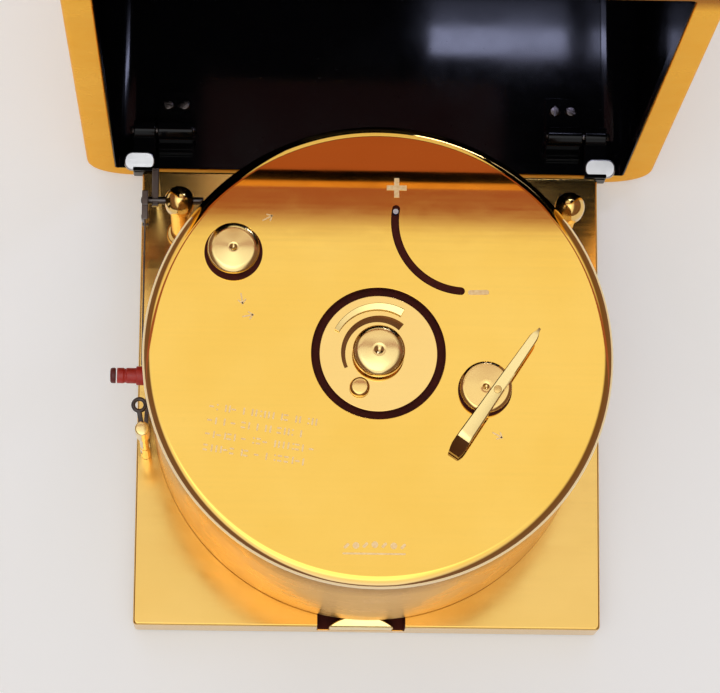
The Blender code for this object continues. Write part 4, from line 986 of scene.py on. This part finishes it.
def cover_rim():
    """A flat frame with a rounded outer edge and a crisp inner edge."""
    width, height = RIM_HIGH.x - RIM_LOW.x, RIM_HIGH.z - RIM_LOW.z
    front, back = RIM_LOW.y, RIM_HIGH.y
    rows = ((0, 0.9), (0.03, 0.35), (0.09, 0.08), (0.16, 0), (0.94, 0), (0.98, 0.05), (1, 0.2))
    section = [(0, back), *[(share, front + depth * MM) for share, depth in rows], (1, back)]
    outer = rounded_rectangle(width, height, CORNER, 14)
    inner = rounded_rectangle(width - 12 * MM, height - 12 * MM, 1 * MM, 14)
    stand_in("cover_rim", framed(outer, inner, section, upright), "rim", "cover")


def rim_trim():
    """The black paint that runs over the rim's inner edge."""
    width, height = RIM_HIGH.x - RIM_LOW.x - 12 * MM, RIM_HIGH.z - RIM_LOW.z - 12 * MM
    front, back = RIM_LOW.y + 0.12 * MM, RIM_HIGH.y
    rows = ((0.02, 1, front), (0.3, 0.9, front + 0.08 * MM), (0.3, 0.9, back), (-0.02, 1, back))
    rings = [cover_ring(width - inset * MM, height - inset * MM, corner * MM, y) for inset, corner, y in rows]
    finish_faces(piece("rim_trim", lofted(rings, closed=True), "lacquer", "cover"))


def hollow_box(node, corner, wall, soften, material, cutter):
    """One sheet, open at the front: an outer skin with soft back edges, and an inner skin."""
    low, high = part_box(node)

    def skin_rings(back, start, soft):
        """Rings round the soft edge at the back, from its side to its flat face."""
        for k in range(6):
            turn = math.pi / 2 * k / 5
            inset = start + soft * (1 - math.cos(turn))
            yield ring(inset, max(corner - inset, 0.3 * MM), back - soft + soft * math.sin(turn))

    def ring(inset, rounding, y):
        return cover_ring(high.x - low.x - 2 * inset, high.z - low.z - 2 * inset, rounding, y)

    inside = list(skin_rings(high.y - wall, wall, max(soften - wall, 0.25 * MM)))[::-1]
    mouth = [ring(wall, corner - wall, low.y), ring(0, corner, low.y)]
    box = lofted(inside + mouth + list(skin_rings(high.y, 0, soften)))
    made = piece(f"{node}_fine", box, material, "cover")
    carve(made, cutter)
    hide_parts(node)


def window_hole(margin):
    low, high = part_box("window_pane")
    middle = (low + high) / 2
    width, depth = high.x - low.x + 0.6 * MM, high.y - low.y + 0.6 * MM
    outline = rounded_rectangle(width - 2 * margin, depth - 2 * margin, 1.2 * MM, 5)
    return moved(prism(outline, low.z - 6 * MM, high.z + 6 * MM), at(middle.x, middle.y))


def cover_body():
    corner = CORNER - 0.6 * MM
    hollow_box("cover_shell", corner, 1.2 * MM, 2.4 * MM, "gilt", window_hole(0))
    corner = CORNER - 2.1 * MM
    hollow_box("cover_lining", corner, 0.5 * MM, 0.9 * MM, "lacquer", window_hole(1.5 * MM))


def window():
    """The clear pane and the gilt frame round it."""
    low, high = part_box("window_pane")
    middle = (low + high) / 2
    outline = rounded_rectangle(high.x - low.x, high.y - low.y, 0.9 * MM, 5)
    pane = moved(prism(outline, low.z, high.z, 0.12 * MM), at(middle.x, middle.y))
    stand_in("window_pane", pane, "glass", "cover")
    low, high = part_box("window_bezel")
    middle = (low + high) / 2
    width, depth = high.x - low.x, high.y - low.y
    rows = ((0, 0.55), (0.10, 0.16), (0.26, 0), (0.62, 0), (0.8, 0.2), (1, 0.75))
    section = [(0, low.z), *[(share, high.z - drop * MM) for share, drop in rows], (1, low.z)]
    outer = rounded_rectangle(width, depth, 3 * MM, 8)
    inner = rounded_rectangle(width - 8 * MM, depth - 8 * MM, 1 * MM, 8)
    frame = framed(outer, inner, section, lambda x, y, z: (x + middle.x, y + middle.y, z))
    stand_in("window_bezel", frame, "gilt", "cover")


def hinge(side, sign):
    """Black hinge: a lug with a bright boss on the base's edge, a leaf screwed to the cover's floor, and the pin."""
    pivot = Vector(JOINTS["cover_hinge"]["pos_m"])
    lug_low, lug_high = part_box(f"hinge_lug_{side}")
    leaf_low, leaf_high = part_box(f"hinge_leaf_{side}")
    radius = 2.1 * MM

    def knuckle(x_from, x_to):
        corners = [(1.2 * MM, x_to, 0.2), (radius, x_to, 0.8), (radius, x_from, 0.8), (1.2 * MM, x_from, 0.2)]
        bm = turned_mesh(rounded_profile(corners, 0.4 * MM, 4), 48)
        return moved(bm, Matrix.Translation((0, pivot.y, pivot.z)) @ Matrix.Rotation(math.pi / 2, 4, "Y"))

    def slab(low, high, edge=0.15):
        x, y = (low[0] + high[0]) / 2, (low[1] + high[1]) / 2
        outline = rounded_rectangle(high[0] - low[0], high[1] - low[1], 0.4 * MM, 4)
        return moved(prism(outline, low[2], high[2], edge * MM), at(x, y))

    plate = slab((lug_low.x, lug_low.y, 4.2 * MM), (lug_high.x, lug_low.y + 0.9 * MM, 8.6 * MM))
    bridge = slab((lug_low.x, lug_low.y, 7.4 * MM), (lug_high.x, pivot.y - 1.5 * MM, 9.0 * MM))
    lug = merged(plate, bridge, knuckle(lug_low.x, lug_high.x))
    stand_in(f"hinge_lug_{side}", lug, "lacquer", "base")
    outline = rounded_rectangle(6.6 * MM, 4.0 * MM, 1.8 * MM, 8)
    place = at((lug_low.x + lug_high.x) / 2 + sign * 1.0 * MM, lug_low.y + 2.1 * MM)
    boss = moved(prism(outline, 8.0 * MM, 9.7 * MM, 0.35 * MM, 4), place)
    for vert in boss.verts:
        if vert.co.z > 8.4 * MM:
            vert.co.z -= 0.2 * (lug_low.y + 4.35 * MM - vert.co.y)
    finish_faces(piece(f"hinge_boss_{side}", boss, "steel", "base"))
    floor, near, far = leaf_low.z, leaf_low.x, leaf_high.x
    leaf = slab((near, leaf_low.y, floor), (far, leaf_high.y, floor + 1.2 * MM))
    web = slab((near, pivot.y - 1.4 * MM, floor + 0.6 * MM), (far, pivot.y + 1.4 * MM, pivot.z - 1.3 * MM))
    shells = merged(leaf, web, knuckle(near, far))
    stand_in(f"hinge_leaf_{side}", shells, "lacquer", "cover")
    for k, x in enumerate((near + 2.1 * MM, far - 2.1 * MM)):
        screw(f"hinge_screw_{side}_{k + 1}", (x, leaf_high.y - 3.0 * MM), floor + 1.2 * MM, 0.5 + 1.1 * k + sign)
    pin_low, pin_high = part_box(f"hinge_pin_{side}")
    rod = tube_along([(pin_low.x, pivot.y, pivot.z), (pin_high.x, pivot.y, pivot.z)], 0.9 * MM, 32)
    made = piece(f"hinge_pin_{side}_fine", rod, "dark_steel", "base")
    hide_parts(f"hinge_pin_{side}")


def screw(name, place, floor, turn):
    corners = [(0, floor + 0.5 * MM, 0), (1.0 * MM, floor + 0.42 * MM, 0.6), (1.35 * MM, floor, 0), (0, floor, 0)]
    head = turned_mesh(rounded_profile(corners, 0.3 * MM, 4), 40, (*place, 0))
    made = piece(name, head, "dark_steel", "cover")
    groove = prism(rounded_rectangle(4 * MM, 0.35 * MM, 0.05 * MM, 2), floor + 0.25 * MM, floor + 2 * MM)
    carve(made, moved(groove, at(*place, 0, turn)))


drum_cap()
drum_wall()
shade_floors()
hub_disc()
nut()
time_lever()
hub_leaf_spring()
set_knob()
winding_hub()
key_bar()
regulator()
dashes()
signs()
base_plate()
front_catch()
rear_post("left")
rear_post("right")
lifter()
pen_arm()
pen()
cover_rim()
rim_trim()
cover_body()
window()
hinge("left", -1)
hinge("right", 1)


# Stage


def table_top():
    bm = bmesh.new()
    size = 4.0
    bm.faces.new([bm.verts.new((x * size, y * size, 0)) for x, y in ((-1, -1), (1, -1), (1, 1), (-1, 1))])
    mesh = bpy.data.meshes.new("table_top")
    bm.to_mesh(mesh)
    bm.free()
    g = Graph("pale_table")
    tone = g.ramp(g.noise(g.place(), 14, 3), [(0.3, (0.81, 0.83, 0.84)), (0.7, (0.83, 0.85, 0.86))])
    g.set(Base_Color=tone, Roughness=0.55, Emission_Color=(0.98, 1.0, 1.0), Emission_Strength=0.26)
    mesh.materials.append(g.material)
    show("table_top", mesh)


def soft_light(name, place, target, size, power, colour):
    data = bpy.data.lights.new(name, "AREA")
    data.shape = "RECTANGLE"
    data.size, data.size_y = size
    data.energy = power
    data.color = colour
    obj = show(name, data)
    obj.location = place
    obj.rotation_euler = (Vector(target) - Vector(place)).to_track_quat("-Z", "Y").to_euler()
    obj.visible_camera = False


WINDOW_TOP, WINDOW_BACK, LAMP = (1.05, 1.06, 1.07), (0.92, 0.84, 0.80), (1.85, 1.88, 1.90)
BEAM, ROOM = (0.37, 0.125, 0.12), (0.19, 0.11, 0.08)


def surroundings():
    """A pale overhead window crossed by one red-brown beam, a lamp just in front, and a dim room round it."""
    world = bpy.data.worlds.new("studio")
    bpy.context.scene.world = world
    g = Graph("studio", world)
    split = g.node("ShaderNodeSeparateXYZ")
    g.link(g.node("ShaderNodeTexCoord").outputs["Generated"], split.inputs[0])
    rise = g.math("MAXIMUM", split.outputs["Z"], 0.02)
    # Where a ray leaves the room, as slopes: sideways from the lamp's middle, and backwards.
    across = g.math("ABSOLUTE", g.math("ADD", g.math("DIVIDE", split.outputs["X"], rise), 0.1), 0.0)
    back = g.math("DIVIDE", split.outputs["Y"], rise)

    def rising(slope, start, end):
        return g.rescale(slope, 0.0, 1.0, start, end, curve="SMOOTHSTEP")

    def falling(slope, start, end):
        return g.math("SUBTRACT", 1.0, rising(slope, start, end))

    beam = g.math("MULTIPLY", rising(back, 0.2490, 0.2550), falling(back, 0.31, 0.36))
    dim = g.math("MAXIMUM", falling(back, -4.5, -2.2), rising(back, 1.6, 3.0))
    dim = g.math("MAXIMUM", dim, rising(across, 0.40, 0.78))
    lamp = g.math("MULTIPLY", rising(back, -0.75, -0.35), falling(back, 0.01, 0.10))
    lamp = g.math("MULTIPLY", lamp, falling(across, 0.16, 0.34))
    sky = g.blend(lamp, g.blend(rising(back, 0.3, 0.5), WINDOW_TOP, WINDOW_BACK), LAMP)
    g.set(Color=g.blend(beam, g.blend(dim, sky, ROOM), BEAM))


def camera():
    """The camera stands almost overhead, a little in front and to the left, rolled slightly."""
    eye, target = Vector((-0.0248, -0.1399, 0.7270)), Vector((-0.0029, 0.0065, 0.0400))
    roll = 0.16
    forward = (target - eye).normalized()
    level = forward.cross(Vector((0, 0, 1))).normalized()
    steep = level.cross(forward)
    right = level * math.cos(roll) + steep * math.sin(roll)
    up = steep * math.cos(roll) - level * math.sin(roll)
    data = bpy.data.cameras.new("camera")
    data.sensor_width = 36
    data.lens = 171.2
    data.clip_start = 0.01
    obj = show("camera", data)
    obj.matrix_world = Matrix.Translation(eye) @ Matrix((right, up, -forward)).transposed().to_4x4()
    bpy.context.scene.camera = obj


table_top()
surroundings()
soft_light("cover_glow", (0.040, 0.126, 0.1325), (0.040, 0.126, 0.0), (0.040, 0.012), 0.032, (0.62, 0.66, 1.0))
soft_light("brown_fill", (0.0, 0.0585, 0.1325), (0.0, 0.0585, 0.0), (0.104, 0.0105), 0.0014, (1.0, 0.30, 0.20))
camera()
bpy.context.scene.view_settings.view_transform = "Standard"
